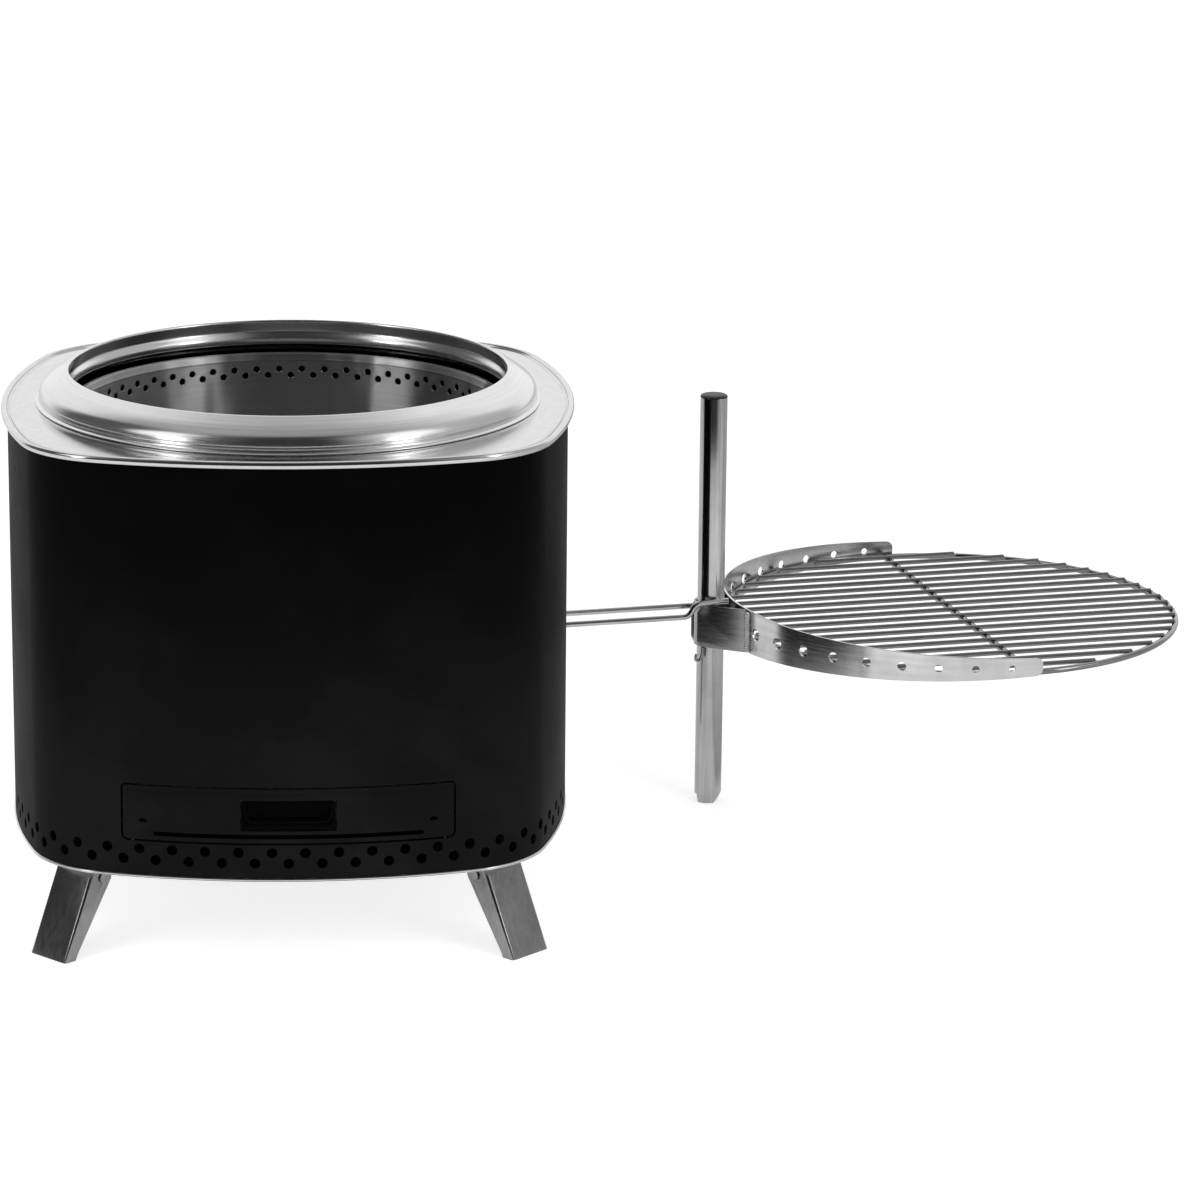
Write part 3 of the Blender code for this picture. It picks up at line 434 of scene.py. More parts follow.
def wire(name: str, points: Sequence, radius: float, closed: bool = False) -> bpy.types.Mesh:
    """Round wire along a line of points, with twelve sides.

    Args:
        name: The mesh's name.
        points: The wire's middle line.
        radius: The wire's radius.
        closed: Whether it joins its own ends.

    Returns:
        The mesh.
    """
    curve = bpy.data.curves.new(name, "CURVE")
    curve.dimensions, curve.bevel_depth, curve.bevel_resolution = "3D", radius, 4
    curve.use_fill_caps = not closed
    trace(curve, points, closed)
    return from_curve(name, curve)


def joined(name: str, meshes: Iterable[bpy.types.Mesh]) -> bpy.types.Mesh:
    """Puts several meshes into one.

    Args:
        name: The name of the whole.
        meshes: The meshes, which are used up.

    Returns:
        The whole.
    """
    bm = bmesh.new()
    for mesh in meshes:
        bm.from_mesh(mesh)
        bpy.data.meshes.remove(mesh)
    whole = bpy.data.meshes.new(name)
    bm.to_mesh(whole)
    bm.free()
    return whole


def shade(mesh: bpy.types.Mesh, angle: float, facing: Callable | None = None) -> None:
    """Smooths a mesh, and gives a curved wall the exact normals of its curve.

    Args:
        mesh: The mesh.
        angle: Edges sharper than this stay sharp, in degrees.
        facing: Gives the wall's outward direction in plan at a point.
    """
    mesh.shade_smooth()
    mesh.set_sharp_from_angle(angle=math.radians(angle))
    if facing is None:
        return
    wall, along = 0.6, 0.94  # least level share of a wall's normal, least agreement with its curve
    normals = []
    for loop, corner in zip(mesh.loops, mesh.corner_normals):
        normal = Vector(corner.vector)
        flat = Vector((normal.x, normal.y))
        out = facing(mesh.vertices[loop.vertex_index].co)
        if flat.length > wall and abs(flat.normalized().dot(out)) > along:
            out = out * flat.length * (1 if flat.dot(out) > 0 else -1)
            normal = Vector((out.x, out.y, normal.z)).normalized()
        normals.append(normal)
    mesh.normals_split_custom_set(normals)


def from_axis(x: float = 0.0) -> Callable[[Vector], Vector]:
    """Gives the facing rule of a wall that is round about an upright axis at x."""
    return lambda co: Vector((co.x - x, co.y)).normalized()


# Shader tools


class Wiring:
    """Adds nodes to one tree and joins them."""

    def __init__(self, tree: bpy.types.NodeTree) -> None:
        """Keeps the tree."""
        self.tree = tree

    def add(self, kind: str, inputs: dict | None = None, **settings: object) -> bpy.types.Node:
        """Adds a node.

        Args:
            kind: The node's type.
            inputs: Values or sockets for its inputs, by name or number.
            settings: Its own settings.

        Returns:
            The node.
        """
        node = self.tree.nodes.new(kind)
        for key, value in settings.items():
            setattr(node, key, value)
        for key, value in (inputs or {}).items():
            self.feed(node.inputs[key], value)
        return node

    def feed(self, socket: bpy.types.NodeSocket, value: object) -> None:
        """Links a socket to an input, or sets the input's value.

        Args:
            socket: The input.
            value: A socket or a plain value.
        """
        if isinstance(value, bpy.types.NodeSocket):
            self.tree.links.new(value, socket)
        else:
            socket.default_value = value

    def maths(self, operation: str, a: object, b: object = 0.0) -> bpy.types.NodeSocket:
        """Adds one sum and gives its result."""
        return self.add("ShaderNodeMath", {0: a, 1: b}, operation=operation).outputs[0]

    def times(self, a: object, b: object) -> bpy.types.NodeSocket:
        """Gives the product of two values."""
        return self.maths("MULTIPLY", a, b)

    def most(self, a: object, b: object) -> bpy.types.NodeSocket:
        """Gives the larger of two values."""
        return self.maths("MAXIMUM", a, b)

    def place(self) -> bpy.types.NodeSocket:
        """Gives the place on the piece, in its own coordinates."""
        return self.add("ShaderNodeTexCoord").outputs["Object"]

    def split(self, vector: object) -> Sequence[bpy.types.NodeSocket]:
        """Gives the three parts of a vector."""
        return self.add("ShaderNodeSeparateXYZ", {0: vector}).outputs[:3]

    def meet(self, x: object, y: object, z: object = 0.0) -> bpy.types.NodeSocket:
        """Makes a vector of three values."""
        return self.add("ShaderNodeCombineXYZ", {0: x, 1: y, 2: z}).outputs[0]

    def vectors(self, operation: str, *inputs: object) -> bpy.types.Node:
        """Adds one sum of vectors."""
        return self.add("ShaderNodeVectorMath", dict(enumerate(inputs)), operation=operation)

    def span(self, value: object, low: float, high: float, to_low: object = 0.0,
             to_high: object = 1.0) -> bpy.types.NodeSocket:
        """Maps a range smoothly onto another."""
        return self.add("ShaderNodeMapRange", {"Value": value, "From Min": low, "From Max": high,
                                               "To Min": to_low, "To Max": to_high},
                        interpolation_type="SMOOTHSTEP").outputs[0]

    def spread(self, noise: object, low: object, high: object) -> bpy.types.NodeSocket:
        """Maps the range that a noise mostly fills onto another."""
        return self.span(noise, 0.3, 0.7, low, high)

    def grey(self, value: object) -> bpy.types.NodeSocket:
        """Makes a neutral colour from a value."""
        return self.add("ShaderNodeCombineColor", {0: value, 1: value, 2: value}).outputs[0]

    def noise(self, vector: object, scale: object, detail: float = 2.0,
              rough: float = 0.5) -> bpy.types.NodeSocket:
        """Adds a noise texture and gives its value."""
        return self.add("ShaderNodeTexNoise", {"Vector": vector, "Scale": scale, "Detail": detail,
                                               "Roughness": rough}).outputs[0]

    def bump(self, height: object, strength: float, distance: float,
             under: bpy.types.NodeSocket | None = None) -> bpy.types.NodeSocket:
        """Adds a bump, on another if one is given, and gives its normal."""
        inputs = {"Height": height, "Strength": strength, "Distance": distance}
        return self.add("ShaderNodeBump", inputs | ({"Normal": under} if under else {})).outputs[0]

    def group(self, tree: bpy.types.NodeTree, **inputs: object) -> bpy.types.Node:
        """Places a node group with its own values."""
        return self.add("ShaderNodeGroup", inputs, node_tree=tree)

    def seen(self) -> tuple[bpy.types.NodeSocket, bpy.types.NodeSocket]:
        """Gives a mask of what the eye sees, and one of what gloss mirrors."""
        light = self.add("ShaderNodeLightPath").outputs
        return self.most(light["Is Camera Ray"], light["Is Transmission Ray"]), light["Is Glossy Ray"]

    def cover(self, shader: bpy.types.Node, tone: object, rough: object, normal: object) -> None:
        """Feeds a shader's colour, roughness and normal.

        Args:
            shader: The shader.
            tone: Its grey.
            rough: Its roughness.
            normal: Its normal.
        """
        for key, value in (("Base Color", self.grey(tone)), ("Roughness", rough), ("Normal", normal)):
            self.feed(shader.inputs[key], value)


def start_group(name: str, inputs: dict[str, float], outputs: Sequence[str]) -> tuple[Wiring, dict]:
    """Starts a shader node group.

    Args:
        name: Its name.
        inputs: Its number inputs and their defaults.
        outputs: Its number outputs.

    Returns:
        Its wiring, and the sockets inside it by name.
    """
    tree = bpy.data.node_groups.new(name, "ShaderNodeTree")
    number = "NodeSocketFloat"
    for key, value in inputs.items():
        tree.interface.new_socket(key, in_out="INPUT", socket_type=number).default_value = value
    for key in outputs:
        tree.interface.new_socket(key, in_out="OUTPUT", socket_type=number)
    wiring = Wiring(tree)
    source = wiring.add("NodeGroupInput")
    sink = wiring.add("NodeGroupOutput")
    return wiring, {**{k: source.outputs[k] for k in inputs}, **{k: sink.inputs[k] for k in outputs}}


@cache
def turned_grain() -> bpy.types.NodeTree:
    """Marks that run round an upright axis, as a lathe or a spinning polisher leaves them.

    Returns:
        The node group, which is made once.
    """
    w, s = start_group("turned_grain", {"Around": 2.0, "Fine": 2600.0, "Broad": 260.0},
                       ("Grain", "Bands", "Wave"))
    x, y, z = w.split(w.place())
    flat = w.meet(x, y)
    radius = w.vectors("LENGTH", flat).outputs["Value"]
    across, deep, _ = w.split(w.vectors("NORMALIZE", flat).outputs[0])
    along = w.maths("ADD", z, w.times(radius, 0.83))
    for output, key, around in (("Grain", "Fine", 1.0), ("Bands", "Broad", 0.35)):
        turn = w.times(s["Around"], around)
        vector = w.meet(w.times(across, turn), w.times(deep, turn), w.times(along, s[key]))
        w.feed(s[output], w.noise(vector, 1.0, 3.0, 0.6))
    slow = w.meet(across, deep, w.times(z, 1.5))
    w.feed(s["Wave"], w.noise(slow, 4.5, 1.0, 0.4))
    return w.tree


@cache
def straight_grain() -> bpy.types.NodeTree:
    """Brush marks along one axis of a flat piece or a wire.

    Returns:
        The node group, which is made once.
    """
    w, s = start_group("straight_grain", {"X": 40.0, "Y": 1800.0, "Z": 1800.0, "Turn": 0.0},
                       ("Grain", "Bands"))
    place = w.add("ShaderNodeVectorRotate", {"Vector": w.place(), "Angle": s["Turn"]},
                  rotation_type="Z_AXIS").outputs[0]
    vector = w.vectors("MULTIPLY", place, w.meet(s["X"], s["Y"], s["Z"])).outputs[0]
    w.feed(s["Grain"], w.noise(vector, 1.0, 3.0, 0.6))
    w.feed(s["Bands"], w.noise(vector, 0.11, 2.0, 0.5))
    return w.tree


@cache
def smudges() -> bpy.types.NodeTree:
    """Soft patches left by hands and by rolling.

    Returns:
        The node group, which is made once.
    """
    w, s = start_group("smudges", {"Size": 26.0, "Amount": 0.5}, ("Patch", "Speck"))
    place = w.place()
    wide = w.noise(place, s["Size"], 4.0, 0.62)
    w.feed(s["Patch"], w.times(w.span(wide, 0.38, 0.68), s["Amount"]))
    fine = w.noise(place, w.times(s["Size"], 34.0), 2.0, 0.5)
    w.feed(s["Speck"], w.times(w.span(fine, 0.56, 0.72), s["Amount"]))
    return w.tree


# Finishes


@dataclass(frozen=True)
class Finish:
    """A finish: its name, the record's slot, its grey and its roughness."""

    name: str
    slot: str
    tone: float
    roughness: float

    def compose(self, w: Wiring, shader: bpy.types.Node) -> None:
        """Wires the finish into the shader."""
        raise NotImplementedError

    @cache
    def material(self) -> bpy.types.Material:
        """Makes the finish's material, once.

        Returns:
            The material.
        """
        material = bpy.data.materials.new(self.name)
        material.use_nodes = True
        self.compose(Wiring(material.node_tree), material.node_tree.nodes["Principled BSDF"])
        return material

    def dress(self, piece: bpy.types.Object) -> None:
        """Gives a piece this finish.

        Args:
            piece: The piece, or a CAD node.
        """
        material = self.material()
        if not piece.material_slots:
            piece.data.materials.append(material)
        for holder in piece.material_slots:
            holder.link = "OBJECT"
            holder.material = material


@dataclass(frozen=True)
class MarkedSteel(Finish):
    """Bright steel with fine marks in its tone, its gloss and its relief."""

    contrast: float = 0.05
    relief: float = 0.02
    anisotropy: float = 0.0

    def lay(self, w: Wiring, shader: bpy.types.Node, marks: bpy.types.Node, bands: Point, haze: object,
            clean: object | None = None) -> bpy.types.NodeSocket:
        """Wires the marks into the shader.

        Args:
            w: The material's wiring.
            shader: Its shader.
            marks: The group that draws the marks.
            bands: Darkest and brightest of the broad bands.
            haze: What smudges add to the roughness.
            clean: What smudges leave of the tone.

        Returns:
            The normal.
        """
        grain = marks.outputs["Grain"]
        tone = w.spread(grain, self.tone * (1 - self.contrast), self.tone * (1 + self.contrast))
        tone = w.times(tone, w.spread(marks.outputs["Bands"], *bands))
        if clean is not None:
            tone = w.times(tone, clean)
        rough = w.span(grain, 0.25, 0.75, self.roughness * 0.8, self.roughness * 1.25)
        normal = w.bump(grain, self.relief, 0.0004)
        w.cover(shader, w.maths("MINIMUM", tone, 0.95), w.maths("ADD", rough, haze), normal)
        shader.inputs["Metallic"].default_value = 1.0
        shader.inputs["Anisotropic"].default_value = self.anisotropy
        shader.inputs["Anisotropic Rotation"].default_value = 0.25
        return normal


@dataclass(frozen=True)
class TurnedSteel(MarkedSteel):
    """Steel with marks that run round the barrel's axis."""

    around: float = 2.0
    wave: float = 0.0

    def compose(self, w: Wiring, shader: bpy.types.Node) -> None:
        """Wires fine turned marks, broad bands, smudges and a slow wave.

        Args:
            w: The material's wiring.
            shader: Its shader.
        """
        marks = w.group(turned_grain(), Around=self.around)
        patch = w.group(smudges(), Size=14.0, Amount=1.0).outputs["Patch"]
        normal = self.lay(w, shader, marks, (0.95, 1.03), w.times(patch, 0.05))
        if self.wave:
            w.feed(shader.inputs["Normal"], w.bump(marks.outputs["Wave"], 1.0, self.wave, normal))


@dataclass(frozen=True)
class BrushedSteel(MarkedSteel):
    """Flat or wire steel with brush marks along one axis."""

    grain: tuple[float, float, float] = (40.0, 1800.0, 1800.0)
    patches: float = 0.1
    patch_size: float = 30.0
    turn: float = 0.0

    def compose(self, w: Wiring, shader: bpy.types.Node) -> None:
        """Wires brush marks, bands and smudges.

        Args:
            w: The material's wiring.
            shader: Its shader.
        """
        x, y, z = self.grain
        marks = w.group(straight_grain(), X=x, Y=y, Z=z, Turn=-math.radians(self.turn))
        patch = w.group(smudges(), Size=self.patch_size, Amount=self.patches).outputs["Patch"]
        self.lay(w, shader, marks, (0.9, 1.05), w.times(patch, 0.2), w.maths("SUBTRACT", 1.0, patch))


@dataclass(frozen=True)
class SatinEnamel(Finish):
    """Black stoved enamel with a faint orange peel, and painted light that lightens its tone towards its
    foot.
    """

    gloss: float = 0.015
    painted_foot_light: float = 1.0

    def compose(self, w: Wiring, shader: bpy.types.Node) -> None:
        """Wires a fine peel, faint clouding and dust in the roughness, and painted light that lightens the
        tone towards the foot.

        Args:
            w: The material's wiring.
            shader: Its shader.
        """
        place = w.place()
        patch = w.group(smudges(), Size=9.0, Amount=1.0).outputs
        height = w.split(place)[2]
        # painted light: the tone is raised towards the shell's foot, from 0.42 m down to 0.10 m
        tone = w.times(w.span(patch["Patch"], 0.0, 1.0, 0.9, 1.25),
                       w.span(height, 0.10, 0.42, self.tone * self.painted_foot_light, self.tone))
        rough = w.maths("ADD", self.roughness, w.times(patch["Patch"], 0.06))
        rough = w.maths("ADD", rough, w.times(patch["Speck"], 0.05))
        w.cover(shader, tone, rough, w.bump(w.noise(place, 900.0), 0.05, 0.0005))
        shader.inputs["Specular IOR Level"].default_value = self.gloss


@dataclass(frozen=True)
class MilledSheet(Finish):
    """Plain mill-finish sheet, dull with faint spangle and rolling marks."""

    def compose(self, w: Wiring, shader: bpy.types.Node) -> None:
        """Wires spangle cells, rolling marks and patches.

        Args:
            w: The material's wiring.
            shader: Its shader.
        """
        place = w.place()
        cells = w.add("ShaderNodeTexVoronoi", {"Vector": place, "Scale": 160.0}).outputs["Color"]
        cell = w.add("ShaderNodeSeparateColor", {0: cells}).outputs[0]
        patch = w.group(smudges(), Size=20.0, Amount=0.5).outputs["Patch"]
        tone = w.times(w.span(cell, 0.0, 1.0, self.tone * 0.88, self.tone * 1.12),
                       w.maths("SUBTRACT", 1.0, w.times(patch, 0.4)))
        rough = w.span(cell, 0.0, 1.0, self.roughness * 0.85, self.roughness * 1.15)
        w.cover(shader, tone, rough, w.bump(w.noise(place, 500.0, 3.0), 0.08, 0.0005))
        shader.inputs["Metallic"].default_value = 1.0


@dataclass(frozen=True)
class Bead(Finish):
    """Weld metal, bright on its ripples and dull between them."""

    def compose(self, w: Wiring, shader: bpy.types.Node) -> None:
        """Wires mottled metal with a lumpy surface.

        Args:
            w: The material's wiring.
            shader: Its shader.
        """
        lump = w.noise(w.place(), 700.0, 4.0, 0.6)
        w.cover(shader, w.spread(lump, self.tone * 0.7, self.tone),
                w.spread(lump, self.roughness * 1.3, self.roughness * 0.8),
                w.bump(lump, 0.4, 0.0006))
        shader.inputs["Metallic"].default_value = 0.4


@dataclass(frozen=True)
class MouldedPlastic(Finish):
    """Black moulded plastic with a fine spark-eroded grain."""

    def compose(self, w: Wiring, shader: bpy.types.Node) -> None:
        """Wires a fine grain and faint scuffs.

        Args:
            w: The material's wiring.
            shader: Its shader.
        """
        grain = w.noise(w.place(), 2400.0)
        patch = w.group(smudges(), Size=90.0, Amount=0.5).outputs["Patch"]
        w.cover(shader, w.span(patch, 0.0, 0.5, self.tone, self.tone * 1.8),
                w.spread(grain, self.roughness * 0.9, self.roughness * 1.1),
                w.bump(grain, 0.15, 0.0003))


# the shell's enamel is painted over five times lighter at its foot: painted light
ENAMEL = SatinEnamel("satin_black_enamel", "black_enamel", 0.0022, 0.42, gloss=0.015, painted_foot_light=5.2)
# near-black finish for the tray strip behind the slot and pips: painted shade
PAINTED_SHADE_ENAMEL = SatinEnamel("dull_black_enamel", "black_enamel", 0.0006, 0.60, gloss=0.010)
SCOOP_ENAMEL = SatinEnamel("pressed_black_enamel", "black_enamel", 0.0040, 0.50, gloss=0.030)
RING_STEEL = TurnedSteel("turned_ring_steel", "polished_steel", 0.78, 0.18, anisotropy=0.5)
DECK_STEEL = TurnedSteel("rolled_deck_steel", "polished_steel", 0.68, 0.10, contrast=0.03, relief=0.015,
                         around=40.0)
DRUM_STEEL = TurnedSteel("spun_drum_steel", "drum_steel", 0.52, 0.36, contrast=0.10, anisotropy=0.95,
                         around=3.0, wave=0.0050)
GRATE_PLATE = MilledSheet("fire_grate_sheet", "sooted_steel", 0.16, 0.5)
SHEET_STEEL = MilledSheet("mill_finish_sheet", "plain_sheet", 0.20, 0.42)
# near-black sheet for the base pan's inside face: painted shade where little light reaches
PAINTED_SHADE = MilledSheet("sooted_sheet", "sooted_steel", 0.02, 0.6)
LEG_STEEL = BrushedSteel("brushed_leg_steel", "brushed_steel", 0.33, 0.17, relief=0.010,
                         grain=(260.0, 260.0, 14.0), patches=0.30, patch_size=19.0)
PLATE_STEEL = BrushedSteel("brushed_plate_steel", "brushed_steel", 0.40, 0.28, contrast=0.04,
                           grain=(60.0, 60.0, 1800.0))
POST_STEEL = BrushedSteel("polished_tube_steel", "polished_steel", 0.52, 0.13, contrast=0.08, relief=0.03,
                          grain=(700.0, 700.0, 14.0))
BAND_STEEL = BrushedSteel("brushed_band_steel", "brushed_steel", 0.74, 0.18, contrast=0.06,
                          anisotropy=0.6, grain=(30.0, 30.0, 1200.0), patches=0.12)
WIRE_STEEL = BrushedSteel("drawn_wire_steel", "polished_steel", 0.32, 0.08, contrast=0.06,
                          grain=(90.0, 700.0, 700.0), turn=ARM_TURN)
HANDLE_STEEL = BrushedSteel("bright_wire_steel", "polished_steel", 0.60, 0.13, contrast=0.06,
                            grain=(90.0, 700.0, 700.0), turn=ARM_TURN)
WELD = Bead("weld_metal", "weld_bead", 0.90, 0.42)
PLASTIC = MouldedPlastic("black_cap_plastic", "black_plastic", 0.010, 0.42)


@dataclass
class Stand:
    """Where a sub-assembly stands: its origin and its turn about +Z."""

    origin: Vector
    turn: float = 0.0

    def put(self, mesh: bpy.types.Mesh, finish: Finish, body: str, *nodes: str,
            sharp: float = 35.0, facing: Callable | None = None) -> bpy.types.Object:
        """Stands a finished piece in place.

        Args:
            mesh: Its mesh, about this stand's origin.
            finish: Its finish.
            body: The body it rides on.
            nodes: The CAD nodes it stands for.
            sharp: Edges sharper than this stay sharp, in degrees.
            facing: Outward direction of a curved wall.

        Returns:
            The piece.
        """
        shade(mesh, sharp, facing)
        mesh.transform(Matrix.Rotation(self.turn, 4, "Z"))
        piece = linked(f"{mesh.name}_look", mesh)
        piece.location = self.origin
        finish.dress(piece)
        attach(piece, body)
        if nodes:
            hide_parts(*nodes)
        LOG.info("%s: %d faces, rides on %s", piece.name, len(mesh.polygons), body)
        return piece


def keep_nodes(finish: Finish, *names: str) -> None:
    """Dresses CAD nodes that are right as they are, and eases their edges.

    Args:
        finish: Their finish.
        names: The nodes.
    """
    for name in names:
        node = frame["nodes"][name]
        finish.dress(node)
        ease = node.modifiers.new("ease", "BEVEL")
        ease.width, ease.segments, ease.limit_method = EASE, 2, "ANGLE"
        ease.angle_limit = math.radians(40)
        LOG.info("%s: CAD node kept", name)


@dataclass(frozen=True)
class Outline:
    """The barrel's plan: four wide side arcs joined by four corner arcs, all tangent."""

    half_width: float = 0.245
    side_radius: float = 0.526
    corner_radius: float = 0.094

    def arcs(self) -> list[tuple[Point, float, float, float]]:
        """Finds the eight arcs, from the front.

        Returns:
            Centre, radius, start angle and end angle of each.
        """
        inset = self.half_width - self.side_radius
        step = self.side_radius - self.corner_radius
        centre = (inset + math.sqrt(2 * step ** 2 - inset ** 2)) / 2
        half = math.atan2(centre, centre - inset)
        found = []
        for quarter in range(4):
            turn = quarter * math.pi / 2 - math.pi / 2
            for way, reach, radius, start, end in (
                    (turn, inset, self.side_radius, turn - half, turn + half),
                    (turn + math.pi / 4, centre * math.sqrt(2), self.corner_radius,
                     turn + half, turn + math.pi / 2 - half)):
                found.append(((reach * math.cos(way), reach * math.sin(way)), radius, start, end))
        return found

    def loop(self, offset: float = 0.0, side: int = 34) -> list[Point]:
        """Draws the outline.

        Args:
            offset: How far out it is moved.
            side: Pieces in each side arc.

        Returns:
            Its points.
        """
        points, corner = [], 22
        for i, (centre, radius, start, end) in enumerate(self.arcs()):
            count = corner if i % 2 else side
            points += arc(centre, radius + offset, start, end, count + 1)[:-1]
        return points

    def length(self) -> float:
        """Adds up the arcs."""
        return sum(radius * (end - start) for _, radius, start, end in self.arcs())

    def at(self, distance: float) -> tuple[Point, float]:
        """Finds a place on the outline.

        Args:
            distance: How far it is along the outline from the front's middle.

        Returns:
            The point and its outward angle.
        """
        arcs = self.arcs()
        distance = (distance + arcs[0][1] * (arcs[0][3] - arcs[0][2]) / 2) % self.length()
        for centre, radius, start, end in arcs:
            if distance <= radius * (end - start):
                break
            distance -= radius * (end - start)
        angle = start + distance / radius
        return (centre[0] + radius * math.cos(angle), centre[1] + radius * math.sin(angle)), angle

    def facing(self, co: Vector) -> Vector:
        """Finds the wall nearest to a point.

        Args:
            co: The point.

        Returns:
            The wall's outward direction there.
        """
        slack = 0.02  # radians that a point may lie past an arc's end
        best, answer = 1.0, Vector((1, 0))
        for centre, radius, start, end in self.arcs():
            arm = Vector((co.x - centre[0], co.y - centre[1]))
            lead = (math.atan2(arm.y, arm.x) - start + slack) % (2 * math.pi)
            if lead <= end - start + 2 * slack and abs(arm.length - radius) < best:
                best, answer = abs(arm.length - radius), arm.normalized()
        return answer

    def sweep(self, name: str, profile: Sequence[Point], shut: bool = True, ends: bool = False,
              side: int = 34) -> bpy.types.Mesh:
        """Sweeps a profile of (offset, height) round the outline."""
        return skin(name, [lift(self.loop(offset, side), z) for offset, z in profile], shut, ends=ends)

    def through(self, name: str, outline: Sequence[Point], depth: float = 0.060) -> bpy.types.Mesh:
        """Gives a cutter through the front wall from an outline of (x, height) points."""
        place = Matrix.Translation((0, -self.half_width, 0)) @ UPRIGHT
        return plate(name, [outline], depth, place=place)


OUTLINE = Outline()


@dataclass
class Barrel:
    """The fixed barrel: shell, deck, flame ring, fire chamber, grate and base."""

    stand: Stand
    body: str = "barrel"
    shell_bottom: float = 0.0830
    shell_top: float = 0.4441
    sheet: float = 0.0010
    vent_radius: float = 0.0045
    vent_count: int = 58
    vent_rows: tuple[float, float] = (0.0962, 0.1057)
    deck_height: float = 0.4460
    deck_opening: float = 0.2050
    base_height: float = 0.0800
    drum_radius: float = 0.1840
    air_radius: float = 0.0030
    air_count: int = 56
    air_rows: tuple[float, float] = (0.4306, 0.4249)
    ledge: float = 0.1675
    grate_radius: float = 0.1823
    slot_pitch: float = 0.0442
    slot_half: float = 0.0060

    def build(self) -> None:
        """Builds every fixed piece of the barrel."""
        self.build_shell()
        self.build_base()
        self.build_deck()
        self.build_ring()
        self.build_drum()
        self.build_grate()
        keep_nodes(SHEET_STEEL, "bulkhead", "drawer_rail_left", "drawer_rail_right")

    def build_shell(self) -> None:
        """Builds the black shell with its vents and drawer opening."""
        low, high = self.shell_bottom, self.shell_top
        section = [(0, low + EASE), (0, high), (-self.sheet, high), (-self.sheet, low), (-EASE, low)]
        mesh = OUTLINE.sweep("outer_shell", section, side=96)
        places = []
        pitch = OUTLINE.length() / self.vent_count
        for row, height in enumerate(self.vent_rows):
            for i in range(self.vent_count):
                (x, y), angle = OUTLINE.at((i + row / 2) * pitch)
                places.append(((x, y, height), (math.cos(angle), math.sin(angle), 0), 1.0))
        inner, outer = self.vent_radius, self.vent_radius + 0.0004
        punch = [(-0.004, inner), (-0.00035, inner), (0.0001, outer), (0.003, outer)]
        mesh = carved(mesh, studs("vents", places, punch, 20))
        mesh = carved(mesh, AshDrawer.window(0.0018))
        self.stand.put(mesh, ENAMEL, self.body, "outer_shell", facing=OUTLINE.facing)

    def build_base(self) -> None:
        """Builds the base pan: a flat plate, a roll and a thin bead below it, with its inside face near
        black as painted shade.
        """
        z = self.base_height
        roll = [(-0.0014, z + 0.0020), (-0.0012, z + 0.0026), (0.0002, z + 0.0028),
                (0.0011, z + 0.0023), (0.0012, z + 0.0015), (0.0009, z + 0.0010),
                (0.0003, z + 0.0008), (0.0006, z + 0.0005), (0.0005, z + 0.0001),
                (-0.0002, z), (-0.0016, z + 0.0002), (-0.0022, z + 0.0010)]
        roll = [roll[0]] + soften(roll[1:-1], 0.0004, 3) + [roll[-1]]
        mesh = OUTLINE.sweep("base_pan", roll, shut=False, ends=True)
        piece = self.stand.put(mesh, DECK_STEEL, self.body, "base_pan", sharp=50)
        # painted shade: the pan's large inside face gets the near-black sheet
        piece.data.materials.append(PAINTED_SHADE.material())
        inside = max(piece.data.polygons, key=lambda face: face.area * max(face.normal.z, 0))
        inside.material_index = 1

    def build_deck(self) -> None:
        """Builds the flat deck inside its raised, folded hem."""
        top = self.deck_height
        bead = [math.radians(-115 + 267 * i / 22) for i in range(23)]
        hem = [(0.0026 + 0.0029 * math.cos(a), top - 0.0014 + 0.0034 * math.sin(a)) for a in bead]
        hem += soften([(0.0, top + 0.0002), (-0.0003, top - 0.0010), (-0.0013, top - 0.0010),
                       (-0.0017, top + 0.0007), (-0.0027, top + 0.0010), (-0.0033, top - 0.0002),
                       (-0.0040, top - 0.0002), (-0.0046, top)], EASE, 3)[1:]
        rows = [lift(OUTLINE.loop(offset), z) for offset, z in hem]
        outer = [Vector(p) for p in OUTLINE.loop(-0.0050)]
        inner = [p.normalized() * self.deck_opening for p in outer]
        for share in (0.0, 0.04, 0.5, 1.0):
            rows.append(lift([a.lerp(b, share) for a, b in zip(outer, inner)], top))
        rows.append(lift(inner, top - 0.0012))
        for offset, z in ((-0.0050, top - 0.0016), (0.0004, top - 0.0016), (0.0004, top - 0.0049)):
            rows.append(lift(OUTLINE.loop(offset), z))
        self.stand.put(skin("top_deck", rows), DECK_STEEL, self.body, "top_deck", sharp=50)

    def build_ring(self) -> None:
        """Builds the turned flame ring from its rolled rim down to its foot."""
        z = self.deck_height
        path = [(0.1931, z + 0.0049), (0.1899, z + 0.0079), (0.1899, z + 0.0123), (0.1936, z + 0.0171),
                (0.1921, z + 0.0260), (0.1921, z + 0.0272), (0.1931, z + 0.0281), (0.1945, z + 0.0273),
                (0.2060, z + 0.0206), (0.2150, z + 0.0140), (0.2178, z + 0.0078), (0.2173, z + 0.0052),
                (0.2180, z + 0.0020), (0.2205, z + 0.0009)]
        cuts = [0, 0.0018, 0.0018, 0.0024, 0.0006, 0.0006, 0.0008, 0.0004, 0.0050, 0.0034, 0.0028,
                0.0012, 0.0014, 0]
        mesh = turned("flame_ring", thicken(soften(path, cuts, 5), 0.0012), 192)
        self.stand.put(mesh, RING_STEEL, self.body, "flame_ring", sharp=50)

